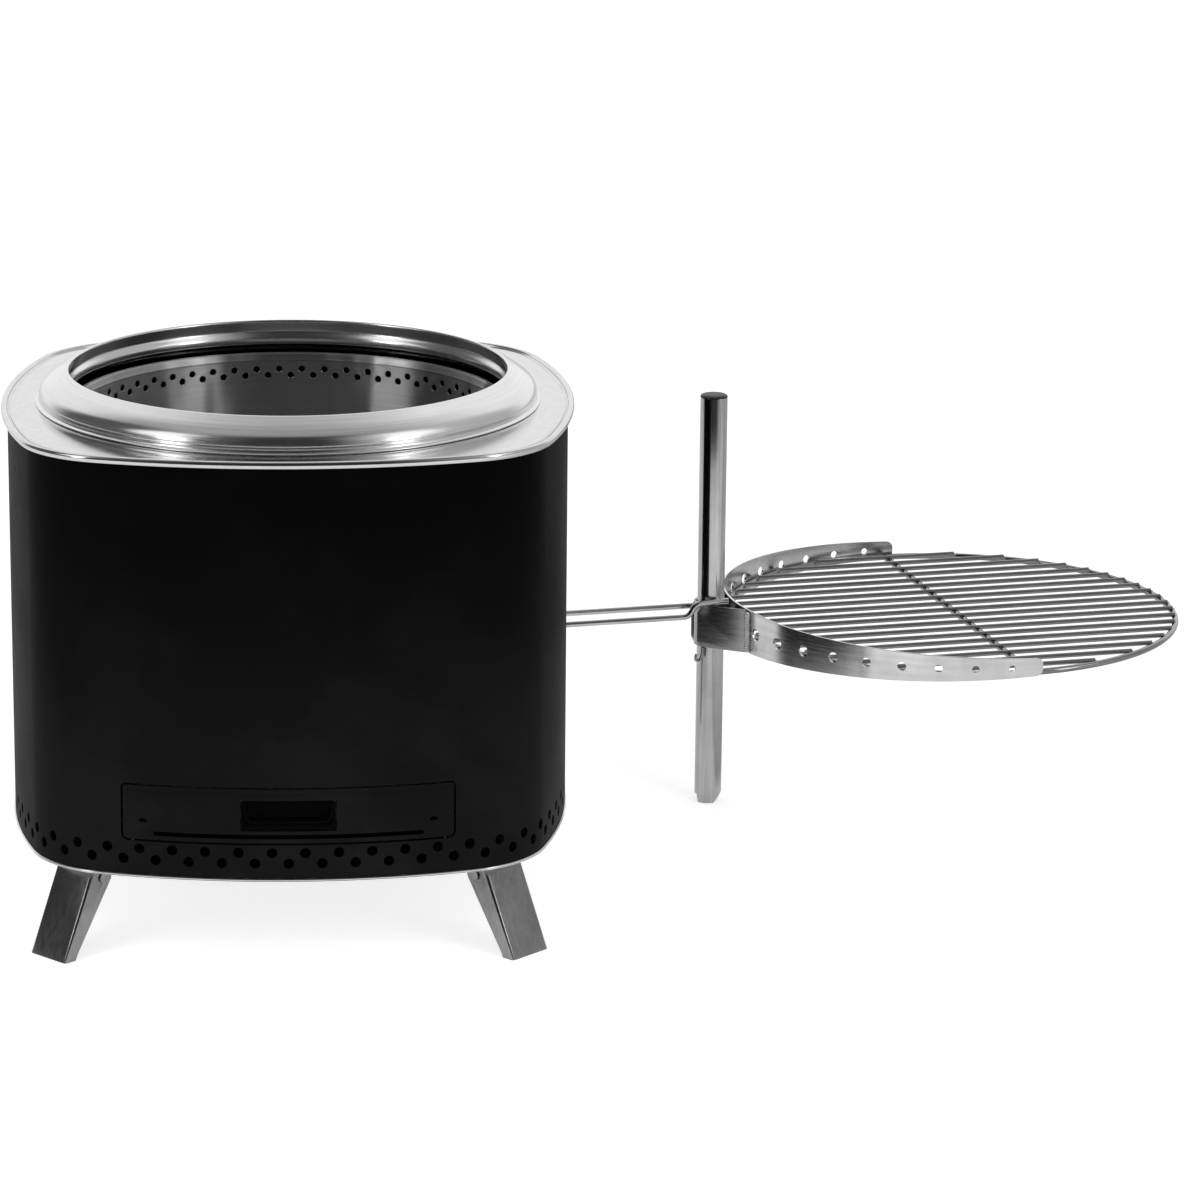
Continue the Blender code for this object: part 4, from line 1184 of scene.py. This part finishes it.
    def build_drum(self) -> None:
        """Builds the fire chamber with its lip, air holes and ledge."""
        r, top = self.drum_radius, self.deck_height - 0.0013
        path = [(r + 0.0075, top - 0.0062), (r + 0.0062, top - 0.0004), (r + 0.0052, top),
                (r + 0.0026, top), (r + 0.0018, top - 0.0006), (r + 0.0002, top - 0.0048),
                (r - 0.0004, top - 0.0056), (r, top - 0.0066), (r, self.ledge), (r - 0.0200, self.ledge)]
        cuts = [0, 0.0008, 0.0006, 0.0006, 0.0006, 0.0004, 0.0004, 0.0006, 0.004, 0]
        mesh = turned("fire_chamber", thicken(soften(path, cuts), self.sheet), 192)
        places = []
        for row, height in enumerate(self.air_rows):
            for i in range(self.air_count):
                angle = (i + 0.5 + row / 2) * 2 * math.pi / self.air_count
                out = Vector((math.cos(angle), math.sin(angle), 0))
                places.append((out * (r - 0.0005) + Vector((0, 0, height)), out, 1.0))
        inner, outer = self.air_radius + 0.0004, self.air_radius
        punch = [(-0.002, inner), (-0.0001, inner), (0.0003, outer), (0.003, outer)]
        mesh = carved(mesh, studs("air_holes", places, punch, 18))
        self.stand.put(mesh, DRUM_STEEL, self.body, "fire_chamber", facing=from_axis())

    def build_grate(self) -> None:
        """Builds the slotted plate that carries the fire."""
        radius, half, sheet = self.grate_radius, self.slot_half, 0.0020
        outlines = [circle(radius, 128)]
        for row in range(-3, 4):
            y = row * self.slot_pitch
            reach = math.sqrt((radius - 0.022) ** 2 - y ** 2)
            outlines.append(soft_box(-reach, reach, y - half, y + half, 0.0058, 0.0058))
        place = Matrix.Translation((0, 0, 0.1693))
        mesh = plate("fire_grate", outlines, sheet, EASE, place)
        self.stand.put(mesh, GRATE_PLATE, self.body, "fire_grate")


@dataclass
class AshDrawer:
    """The drawer: curved front panel, finger scoop and ash tray."""

    stand: Stand
    body: str = "ash_drawer"
    panel: float = 0.0012
    tray_sheet: float = 0.0010
    pocket_depth: float = 0.0200

    @staticmethod
    def window(clearance: float) -> bpy.types.Mesh:
        """Makes the block that cuts the drawer's opening, or trims its panel.

        Args:
            clearance: How far the block stands out past the panel's edges.

        Returns:
            The block.
        """
        half, low, high = 0.1405 + clearance, 0.1143 - clearance, 0.1618 + clearance
        outline = soft_box(-half, half, low, high, 0.0046 + clearance, 0.0026 + clearance)
        return OUTLINE.through("drawer_window", outline, 0.080)

    def build(self) -> None:
        """Builds the drawer's pieces."""
        self.build_front()
        self.build_scoop()
        self.build_tray_front()
        keep_nodes(SHEET_STEEL, "drawer_pan")

    @staticmethod
    def front_line(offset: float, half: float, count: int) -> list[Point]:
        """Draws a line along the front arc, left to right.

        Args:
            offset: How far out it is moved.
            half: Half its width.
            count: How many points it has.

        Returns:
            Its points.
        """
        radius = OUTLINE.side_radius + offset
        lean = math.asin(half / radius)
        centre, middle = (0, OUTLINE.side_radius - OUTLINE.half_width), -math.pi / 2
        return arc(centre, radius, middle - lean, middle + lean, count)

    def build_front(self) -> None:
        """Builds the panel with its crease, window, slot and two half-round cut-outs."""
        low, high, half, count = 0.105, 0.171, 0.150, 81
        crease = [(0.1561, 0), (0.1564, -0.0002), (0.1567, -0.0004), (0.1570, -0.0002), (0.1573, 0)]
        section = [(low, 0), *crease, (high, 0), (high, -self.panel), (low, -self.panel)]
        rows = [lift(self.front_line(offset, half, count), z) for z, offset in section]
        mesh = filled(skin("drawer_front", rows, wrap=False))
        mesh = carved(mesh, self.window(0.0), Cut.INSIDE)
        holes = {"scoop_hole": soft_box(-0.041, 0.041, 0.1247, 0.1521, 0.002, 0.001),
                 "slot_hole": soft_box(-0.115, 0.115, 0.1180, 0.1218, 0.00188, 0.00188),
                 "left_pip": arc((-0.1235, 0.1297), 0.0036, 0, math.pi, 15),
                 "right_pip": arc((0.1235, 0.1297), 0.0036, 0, math.pi, 15)}
        for name, outline in holes.items():
            mesh = carved(mesh, OUTLINE.through(name, outline))
        self.stand.put(mesh, ENAMEL, self.body, "drawer_front", facing=OUTLINE.facing)

    def build_tray_front(self) -> None:
        """Builds the curved strip that closes the tray behind the panel, notched for the pocket, near black
        as painted shade seen through the slot and pips.
        """
        outer, low, high = self.panel + GAP, 0.1168, 0.1480
        inner = outer + self.tray_sheet
        section = soften([(-outer, low), (-outer, high), (-inner, high), (-inner, low)], EASE, 2,
                         closed=True)
        rows = [lift(self.front_line(offset, 0.132, 49), z) for offset, z in section]
        mesh = filled(skin("tray_front", rows, wrap=False))
        notch = soft_box(-0.0425, 0.0425, 0.1232, 0.1650, 0.001, 0.001)
        mesh = carved(mesh, OUTLINE.through("pocket_notch", notch))
        # painted shade: the strip behind the slot and pips is near black
        self.stand.put(mesh, PAINTED_SHADE_ENAMEL, self.body, "tray_front", facing=OUTLINE.facing)

    def build_scoop(self) -> None:
        """Builds the finger pocket, tapered to the back, with a rolled lip inside its mouth."""
        mouth = -OUTLINE.half_width + self.panel + GAP + 0.0016
        rows = []
        for share, depth, shrink in ((0.0, 0.0, 0), (0.12, 0.0016, 0), (0.9, 0.0186, 0),
                                     (1.0, self.pocket_depth, 1)):
            x = 0.0398 - 0.0064 * share - 0.004 * shrink
            low, high = 0.1259 + 0.0052 * share + 0.003 * shrink, 0.1509 - 0.0022 * share - 0.003 * shrink
            rows.append([(px, mouth + depth, pz) for px, pz in soft_box(-x, x, low, high, 0.004, 0.0025)])
        mesh = skin("drawer_scoop", rows, shut=False)
        with edited(mesh) as bm:
            back = mouth + self.pocket_depth
            edge = [v for v in bm.verts if abs(v.co.y - back) < 0.0001]
            bmesh.ops.contextual_create(bm, geom=edge)
        pocket = worked(mesh, "SOLIDIFY", thickness=0.0009, offset=0)
        lip = soften([(-0.0384, mouth + 0.001, 0.1498), (-0.0345, mouth + 0.003, 0.1312),
                      (0.0345, mouth + 0.003, 0.1312), (0.0384, mouth + 0.001, 0.1498)], 0.005, 8)
        whole = joined("drawer_scoop", [pocket, wire("lip", lip, 0.0006)])
        self.stand.put(whole, SCOOP_ENAMEL, self.body, "drawer_scoop")


@dataclass
class Leg:
    """One folding leg: a splayed channel that turns on a pin in a bracket."""

    corner: Corner
    barrel: Vector
    width: float = 0.0450
    sheet: float = 0.0020
    pivot: Point = (0.2490, 0.0675)
    knuckle: float = 0.0105
    bend: float = 0.0030
    pin: float = 0.0029

    def build(self) -> None:
        """Builds the leg and dresses its bracket and pin."""
        turn = self.corner.value * math.pi / 4
        corner = self.corner.name.lower()
        reach, height = self.pivot
        place = self.barrel + Vector((reach * math.cos(turn), reach * math.sin(turn), height))
        mesh = worked(self.folded(f"leg_{corner}"), "SOLIDIFY", thickness=self.sheet, offset=-1,
                      use_even_offset=True)
        for vertex in mesh.vertices:
            vertex.co.z = max(vertex.co.z, -height)
        bore = studs("bore", [((0, 0, 0), (0, 1, 0), 1.0)], [(-0.03, self.pin), (0.03, self.pin)], 24)
        mesh = worked(carved(mesh, bore), "BEVEL", width=0.0007, segments=3, limit_method="ANGLE",
                      angle_limit=math.radians(50))
        Stand(place, turn).put(mesh, LEG_STEEL, f"leg_{corner}", f"leg_{corner}", sharp=30)
        keep_nodes(SHEET_STEEL, f"leg_bracket_{corner}")
        keep_nodes(LEG_STEEL, f"leg_pin_{corner}")

    def folded(self, name: str) -> bpy.types.Mesh:
        """Folds the leg's outer face: a wide front between two sides that narrow to the foot.

        Args:
            name: The mesh's name.

        Returns:
            The face without thickness, about the pin.
        """
        top, foot = (0.2578, 0.0805), (0.2940, 0.0)
        side = [top] + arc(self.pivot, self.knuckle, math.radians(80), math.radians(195), 16)
        side += [(0.2796, 0.0040), (0.2812, 0.0), foot]
        side = [(x - self.pivot[0], z - self.pivot[1]) for x, z in side]
        half, count = self.width / 2, len(side)
        bm = bmesh.new()
        made = [bm.verts.new((x, y, z)) for y in (-half, half) for x, z in side]
        for face in (range(count), range(count, 2 * count), (0, count - 1, 2 * count - 1, count)):
            bm.faces.new([made[i] for i in face])
        bm.normal_update()
        bmesh.ops.recalc_face_normals(bm, faces=bm.faces)
        front = next(f for f in bm.faces if len(f.verts) == 4)
        if front.normal.x < 0:
            bmesh.ops.reverse_faces(bm, faces=bm.faces)
        bends = [e for e in bm.edges if len(e.link_faces) == 2]
        bmesh.ops.bevel(bm, geom=bends, offset=self.bend, segments=5, profile=0.5, affect="EDGES")
        mesh = bpy.data.meshes.new(name)
        bm.to_mesh(mesh)
        bm.free()
        return mesh


@dataclass
class GrillPost:
    """The post: a one-inch tube with catch holes, a slanted foot and a cap."""

    stand: Stand
    arm_turn: float
    body: str = "grill_post"
    radius: float = 0.0127
    wall: float = 0.0016
    top: float = 0.3920
    height: float = 0.3950
    catch_top: float = 0.272
    catch_pitch: float = 0.0455

    def build(self) -> None:
        """Builds the tube and its cap."""
        self.build_tube()
        self.build_cap()

    def build_tube(self) -> None:
        """Builds the tube with its catch holes and its slanted foot."""
        r, inner = self.radius, self.radius - self.wall
        section = soften([(inner, 0), (r, 0), (r, self.top), (inner, self.top)], EASE, 2, closed=True)
        mesh = turned("post_tube", section, 72)
        side = Vector((math.cos(self.arm_turn), math.sin(self.arm_turn), 0))
        places = [(side * r + Vector((0, 0, self.catch_top - i * self.catch_pitch)), side, 1.0)
                  for i in range(5)]
        punch = [(-0.004, 0.0026), (-0.0004, 0.0026), (0.0001, 0.0030), (0.004, 0.0030)]
        mesh = carved(mesh, studs("catch_holes", places, punch, 20))
        for outline in ([(0.0035, -0.001), (0.0200, -0.001), (0.0200, 0.0115), (0.0140, 0.0115)],
                        [(-0.0200, -0.001), (-0.0098, -0.001), (-0.0098, 0.0075), (-0.0200, 0.0075)]):
            mesh = carved(mesh, plate("foot_cut", [outline], 0.05, place=UPRIGHT))
        self.stand.put(mesh, POST_STEEL, self.body, "post_tube", facing=from_axis())

    def build_cap(self) -> None:
        """Builds the domed cap with its plug."""
        r, plug, flange, high = self.radius, self.radius - self.wall - GAP, self.top + GAP, self.height
        profile = [(0, high), (0.0060, high - 0.0001), (r - 0.0018, high - 0.0006), (r, high - 0.0018),
                   (r, flange), (plug, flange), (plug, flange - 0.012), (0, flange - 0.012)]
        profile = soften(profile, [0, 0.003, 0.0012, 0.0006, 0.0002, 0, 0, 0], 4)
        self.stand.put(turned("post_cap", profile, 72, shut=False), PLASTIC, self.body, "post_cap")


@dataclass
class GrillArm:
    """What turns on the post: collar, wing plates, band, grate, handle and hook."""

    stand: Stand
    body: str = "swing_grate"
    mid: float = 0.1750
    half: float = 0.0205
    sheet: float = 0.0020
    centre: float = 0.2390
    grate_radius: float = 0.2155
    spread: float = 0.0400
    sleeve: float = 0.0156
    bead: float = 0.0022
    ripple: float = 0.0030
    band_full: float = math.radians(13.0)
    band_end: float = math.radians(93.5)
    band_low: float = 0.0165
    band_tip: float = 0.0055
    hole: float = 0.0060
    last_hole: float = 0.0031
    first_degrees: float = 14.5
    pitch_degrees: float = 8.9
    ring: float = 0.0030
    bar: float = 0.0023
    bar_pitch: float = 0.0220
    rod: float = 0.0040

    def build(self) -> None:
        """Builds every piece of the arm."""
        self.build_collar()
        self.build_wings()
        self.build_band()
        self.build_grate()
        self.build_handle()
        self.build_hook()

    @property
    def band_radius(self) -> float:
        """The band's outer radius."""
        return self.grate_radius + 0.0008 + self.sheet

    def build_collar(self) -> None:
        """Builds the sleeve with a small lip at its top."""
        low, high, bore, r = self.mid - self.half, self.mid + self.half, 0.0136, self.sleeve
        section = soften([(bore, low), (r, low), (r, high - 0.0002), (r + 0.0006, high + 0.0001),
                          (r + 0.0004, high + 0.0006), (bore, high + 0.0004)], EASE, 2, closed=True)
        self.stand.put(turned("slide_collar", section, 72), PLATE_STEEL, "grate_collar", "slide_collar",
                       facing=from_axis())

    def wing_line(self) -> tuple[Vector, Vector]:
        """Draws the near wing plate's middle line, in plan.

        Returns:
            Its ends at the collar and at the band.
        """
        reach = self.sleeve + GAP + self.sheet / 2
        outer = self.band_radius + 0.0008
        end = Vector((self.centre - math.sqrt(outer ** 2 - self.spread ** 2), -self.spread))
        away = math.atan2(end.y, end.x) - math.acos(reach / end.length)
        return Vector((reach * math.cos(away), reach * math.sin(away))), end

    def build_wings(self) -> None:
        """Builds both wing plates and the rippled weld beads at their ends."""
        start, end = self.wing_line()
        along = (end - start).normalized()
        length, half = (end - start).length - 0.0012, self.half
        outline = soften([(-0.0005, half), (length, half), (length, -half), (-0.0030, -half),
                          (-0.0065, -half + 0.0050), (-0.0065, half - 0.0080)], 0.0008, 3, closed=True)
        bead = self.bead_place(end, along)
        for name, side in (("near", 1), ("far", -1)):
            place = (Matrix.Translation((start.x, side * start.y, self.mid))
                     @ Matrix.Rotation(side * math.atan2(along.y, along.x), 4, "Z") @ UPRIGHT)
            mesh = plate(f"wing_plate_{name}", [outline], self.sheet, EASE, place)
            self.stand.put(mesh, PLATE_STEEL, self.body, f"wing_plate_{name}", sharp=50)
            weld = self.bead_mesh(f"wing_weld_{name}", (bead.x, side * bead.y))
            self.stand.put(weld, WELD, self.body, f"wing_weld_{name}", sharp=70)

    def bead_place(self, end: Vector, along: Vector) -> Vector:
        """Finds where the bead between the near wing and the band sits.

        Args:
            end: The wing's end at the band.
            along: The wing's direction.

        Returns:
            The bead's middle, in plan.
        """
        aside = end + Vector((along.y, -along.x)) * (self.sheet / 2 + self.bead + GAP)
        offset = aside - Vector((self.centre, 0))
        reach = self.band_radius + self.bead + GAP
        middle = offset.dot(along)
        return aside - along * (middle + math.sqrt(middle ** 2 - offset.length_squared + reach ** 2))

    def bead_mesh(self, name: str, at: Point) -> bpy.types.Mesh:
        """Builds a bead of overlapping ripples.

        Args:
            name: The mesh's name.
            at: The bead's middle, in plan.

        Returns:
            The mesh.
        """
        rows, ripples, steps = [], 17, 5
        low, high = self.mid - self.half + 0.001, self.mid + self.half - 0.001
        for k in range(ripples * steps + 1):
            share = k / (ripples * steps)
            swell = 0.74 + 0.26 * math.sqrt((k % steps) / steps)
            end = min(1.0, 6 * math.sin(math.pi * share) + 0.25)
            z = low + (high - low) * share
            wander = 0.00018 * math.sin(share * 31)
            rows.append([(at[0] + wander + x, at[1] + y, z + 0.12 * x)
                         for x, y in circle(self.ripple * swell * end, 16)])
        return skin(name, rows, shut=False, ends=True)

    def band_half(self, angle: float) -> float:
        """Gives half the band's height.

        Args:
            angle: The place on the band, from the post.

        Returns:
            Half the height there.
        """
        angle, tip = abs(angle), self.band_tip
        share = min(max((angle - self.band_full) / (self.band_end - self.band_full), 0.0), 1.0)
        height = (2 * self.half + share * (self.band_low - 2 * self.half)) / 2
        left = (self.band_end - angle) * self.band_radius
        if left < tip:
            height -= tip - math.sqrt(max(tip ** 2 - (tip - left) ** 2, 0)) * 0.96
        return height

    def build_band(self) -> None:
        """Builds the tapered band with its shrinking holes."""
        last, outer = self.band_end, self.band_radius
        inner = outer - self.sheet
        tip = [last - reach / outer
               for reach in (0.0, 0.0003, 0.0008, 0.0014, 0.0022, 0.0032, 0.0043, self.band_tip)]
        regular = [last * i / 90 for i in range(-89, 90) if last * abs(i) / 90 < tip[-1] - 0.005]
        angles = [-a for a in tip] + regular + tip[::-1]
        rows = []
        for r, inset, sign in ((inner + EASE, 0, -1), (outer - EASE, 0, -1), (outer, EASE, -1),
                               (outer, EASE, 1), (outer - EASE, 0, 1), (inner + EASE, 0, 1),
                               (inner, EASE, 1), (inner, EASE, -1)):
            rows.append([(self.centre - r * math.cos(a), r * math.sin(a),
                          self.mid + sign * (self.band_half(a) - inset)) for a in angles])
        mesh = filled(skin("arc_band", rows, wrap=False))
        places = []
        for side in (-1, 1):
            for i in range(-1, 9):
                angle = side * math.radians(self.first_degrees + self.pitch_degrees * i)
                out = Vector((-math.cos(angle), math.sin(angle), 0))
                places.append((Vector((self.centre, 0, self.mid)) + out * (outer - 0.001), out,
                               1 - max(i, 0) / 8 * (1 - self.last_hole / self.hole)))
        tool = studs("band_holes", places, [(-0.006, self.hole), (0.006, self.hole)], 28)
        self.stand.put(carved(mesh, tool), BAND_STEEL, self.body, "arc_band", facing=from_axis(self.centre))

    def build_grate(self) -> None:
        """Builds the ring wire, cross rod, nineteen bars and the weld lumps that join them."""
        ring, bar, top = self.ring, self.bar, self.mid - 0.0030
        low = top - bar - ring + 0.0022
        middle, rod = self.grate_radius - ring, self.centre + self.rod
        pieces = [wire("ring", [(self.centre + x, y, low) for x, y in circle(middle, 160)], ring, True),
                  wire("cross", [(rod, -middle, low), (rod, middle, low)], ring)]
        lumps = []
        for i in range(19):
            y = (i - 9) * self.bar_pitch
            end = math.sqrt(middle ** 2 - (abs(y) + bar) ** 2)
            pieces.append(wire("bar", [(self.centre - end, y, top), (self.centre + end, y, top)], bar))
            for x in (-end, end, self.rod):
                lumps.append(((self.centre + x, y, (low + top) / 2), (0, 0, 1), 1.0))
        lump = [(-0.0022, 0.0006), (-0.0016, 0.0020), (-0.0004, 0.0030), (0.0008, 0.0030),
                (0.0018, 0.0018), (0.0022, 0.0006)]
        pieces.append(studs("lumps", lumps, lump, 10))
        self.stand.put(joined("cooking_grate", pieces), WIRE_STEEL, self.body, "cooking_grate", sharp=40)

    def build_handle(self) -> None:
        """Builds the handle: one wire from the far plate, round the tip and over the near plate."""
        half, z, r = 0.0190, self.mid + 0.0115, 0.0028
        high = self.mid + self.half + r + 0.0006
        tip = -0.1800 + r
        path = [(-0.0105, half, z), (tip, half, z), (tip, -half, z), (-0.0270, -half, z),
                (-0.0205, -half, high - 0.0010), (-0.0130, -half + 0.0010, high), (0.0060, -0.0165, high),
                (0.0120, -0.0165, high)]
        path = soften(path, [0, 0.0075, 0.0075, 0.0060, 0.0042, 0.0030, 0.0020, 0], 8)
        self.stand.put(wire("handle_loop", path, r), HANDLE_STEEL, self.body, "handle_loop", sharp=50)

    def build_hook(self) -> None:
        """Builds the small hook under the near plate."""
        start = self.wing_line()[0]
        x, y, top = start.x - 0.0010, start.y - 0.0004, self.mid - self.half - GAP
        path = [(x, y, top), (x - 0.0006, y, top - 0.0050), (x - 0.0020, y, top - 0.0120),
                (x - 0.0070, y, top - 0.0125), (x - 0.0062, y, top - 0.0060)]
        hook = wire("latch_hook", soften(path, 0.0026, 6), 0.0014)
        self.stand.put(hook, WIRE_STEEL, self.body, "latch_hook", sharp=50)


@dataclass
class Studio:
    """Floor, soft light, world and camera."""

    eye: Vector = field(default_factory=lambda: Vector((-0.2505, -4.4741, 1.4461)))
    yaw: float = 0.0530
    pitch: float = 0.2658
    roll: float = 0.0101
    lens: float = 152.14

    def build(self) -> None:
        """Builds the studio."""
        bpy.context.scene.view_settings.view_transform = "Standard"
        self.build_camera()
        self.build_floor()
        self.build_world()
        self.build_lamps()

    def build_camera(self) -> None:
        """Sets the camera at the photograph's viewing angle."""
        ahead = Vector((math.sin(self.yaw) * math.cos(self.pitch),
                        math.cos(self.yaw) * math.cos(self.pitch), -math.sin(self.pitch)))
        right = Vector((math.cos(self.yaw), -math.sin(self.yaw), 0))
        up = right.cross(ahead)
        side = right * math.cos(self.roll) + up * math.sin(self.roll)
        top = up * math.cos(self.roll) - right * math.sin(self.roll)
        data = bpy.data.cameras.new("camera")
        data.lens, data.sensor_width, data.sensor_fit = self.lens, 36.0, "HORIZONTAL"
        camera = linked("camera", data)
        turn = Matrix((side, top, -ahead)).transposed().to_4x4()
        camera.matrix_world = Matrix.Translation(self.eye) @ turn
        bpy.context.scene.camera = camera

    def build_floor(self) -> None:
        """Lays a plain pale floor that looks white where nothing shades it, with a painted shadow under the
        grill in the glow that metal mirrors.
        """
        reach = 30
        corners = [(-reach, -reach, 0), (reach, -reach, 0), (reach, reach, 0), (-reach, reach, 0)]
        floor = linked("floor", mesh_of("floor", corners, [(0, 1, 2, 3)]))
        material = bpy.data.materials.new("pale_floor")
        material.use_nodes = True
        w = Wiring(material.node_tree)
        shader = material.node_tree.nodes["Principled BSDF"]
        for key, value in (("Base Color", (0.8, 0.8, 0.8, 1)), ("Roughness", 0.9),
                           ("Specular IOR Level", 0.0), ("Emission Color", (1, 1, 1, 1))):
            shader.inputs[key].default_value = value
        seen, gloss = w.seen()
        x, y, _ = w.split(w.place())
        # painted shadow: the floor's glow for gloss dims in a patch under the grill
        painted_grill_shadow = w.times(w.span(x, 0.12, 0.22), w.span(y, -0.66, -0.52))
        mirrored = w.times(gloss, w.span(painted_grill_shadow, 0.0, 1.0, 0.35, 0.05))
        w.feed(shader.inputs["Emission Strength"], w.most(w.times(seen, 0.62), mirrored))
        floor.data.materials.append(material)

    def build_world(self) -> None:
        """Surrounds the stage with white for the eye and a soft studio for the metal."""
        world = bpy.data.worlds.new("studio")
        world.use_nodes = True
        bpy.context.scene.world = world
        w = Wiring(world.node_tree)
        background = world.node_tree.nodes["Background"]
        background.inputs["Color"].default_value = (1, 1, 1, 1)
        seen, gloss = w.seen()
        x, y, z = w.split(w.add("ShaderNodeTexCoord").outputs["Generated"])
        turn = w.maths("ARCTAN2", w.maths("ABSOLUTE", x), w.times(y, -1.0))
        around = w.span(turn, 0.3, 0.9, 0.03, w.span(x, -0.6, 0.6, 0.10, 0.5))
        around = w.span(turn, 2.1, 2.5, around, 1.0)
        box = self.patch(w, turn, z, (0.80, 1.05, 1.30, 1.55), (0.30, 0.45, 0.8, 0.93), 1.3)
        strip = self.patch(w, turn, z, (0.82, 0.92, 1.00, 1.12), (0.12, 0.25, 0.42, 0.55), 4.5)
        around = w.most(around, w.most(box, strip))
        above = w.span(y, 0.1, 0.7, w.span(y, -0.35, 0.02, 0.04, 0.34), 1.0)
        metal = w.span(z, 0.75, 0.95, around, above)
        plain = w.span(gloss, 0.0, 1.0, 0.55, metal)
        w.feed(background.inputs["Strength"], w.span(seen, 0.0, 1.0, plain, 1.0))

    @staticmethod
    def patch(w: Wiring, turn: object, rise: object, sides: Sequence[float], heights: Sequence[float],
              strength: float) -> bpy.types.NodeSocket:
        """Adds a soft-edged patch of light.

        Args:
            w: The world's wiring.
            turn: Angle away from the front.
            rise: Height of the direction.
            sides: Where the patch starts, is full, starts to fade and ends, by angle.
            heights: The same by height.
            strength: Its brightness.

        Returns:
            The patch's light.
        """
        light = strength
        for value, (start, full, fade, end) in ((turn, sides), (rise, heights)):
            edge = w.times(w.span(value, start, full), w.span(value, fade, end, 1.0, 0.0))
            light = w.times(edge, light)
        return light

    def build_lamps(self) -> None:
        """Hangs soft lamps, which the metal sees only as the world's soft patches."""
        middle, away, height, power = -0.2, 2.7, 2.0, 17.0
        aim = Vector((middle, 0, 0.2))
        for name, turn, width in (("left_box", -43.0, 1.0), ("right_box", 43.0, 1.1)):
            data = bpy.data.lights.new(name, "AREA")
            data.shape, data.size, data.size_y, data.energy = "RECTANGLE", width, 2.0, power
            lamp = linked(name, data)
            turn = math.radians(turn)
            lamp.location = (middle + away * math.sin(turn), -away * math.cos(turn), height)
            lamp.rotation_euler = (lamp.location - aim).to_track_quat("Z", "Y").to_euler()
            lamp.visible_glossy = False


def middle_of(node: str) -> Vector:
    """Gives the plan middle of a CAD node, on the floor."""
    low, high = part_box(node)
    return Vector(((low.x + high.x) / 2, (low.y + high.y) / 2, 0))


def main() -> None:
    """Builds the sub-assemblies in order."""
    logging.basicConfig(level=logging.INFO, format="%(name)s: %(message)s")
    axis, post = middle_of("flame_ring"), middle_of("post_cap")
    arm_turn = math.radians(ARM_TURN)
    Studio().build()
    Barrel(Stand(axis)).build()
    AshDrawer(Stand(axis)).build()
    for corner in Corner:
        Leg(corner, axis).build()
    GrillPost(Stand(post), arm_turn).build()
    GrillArm(Stand(post, arm_turn)).build()


if __name__ == "__main__":
    main()
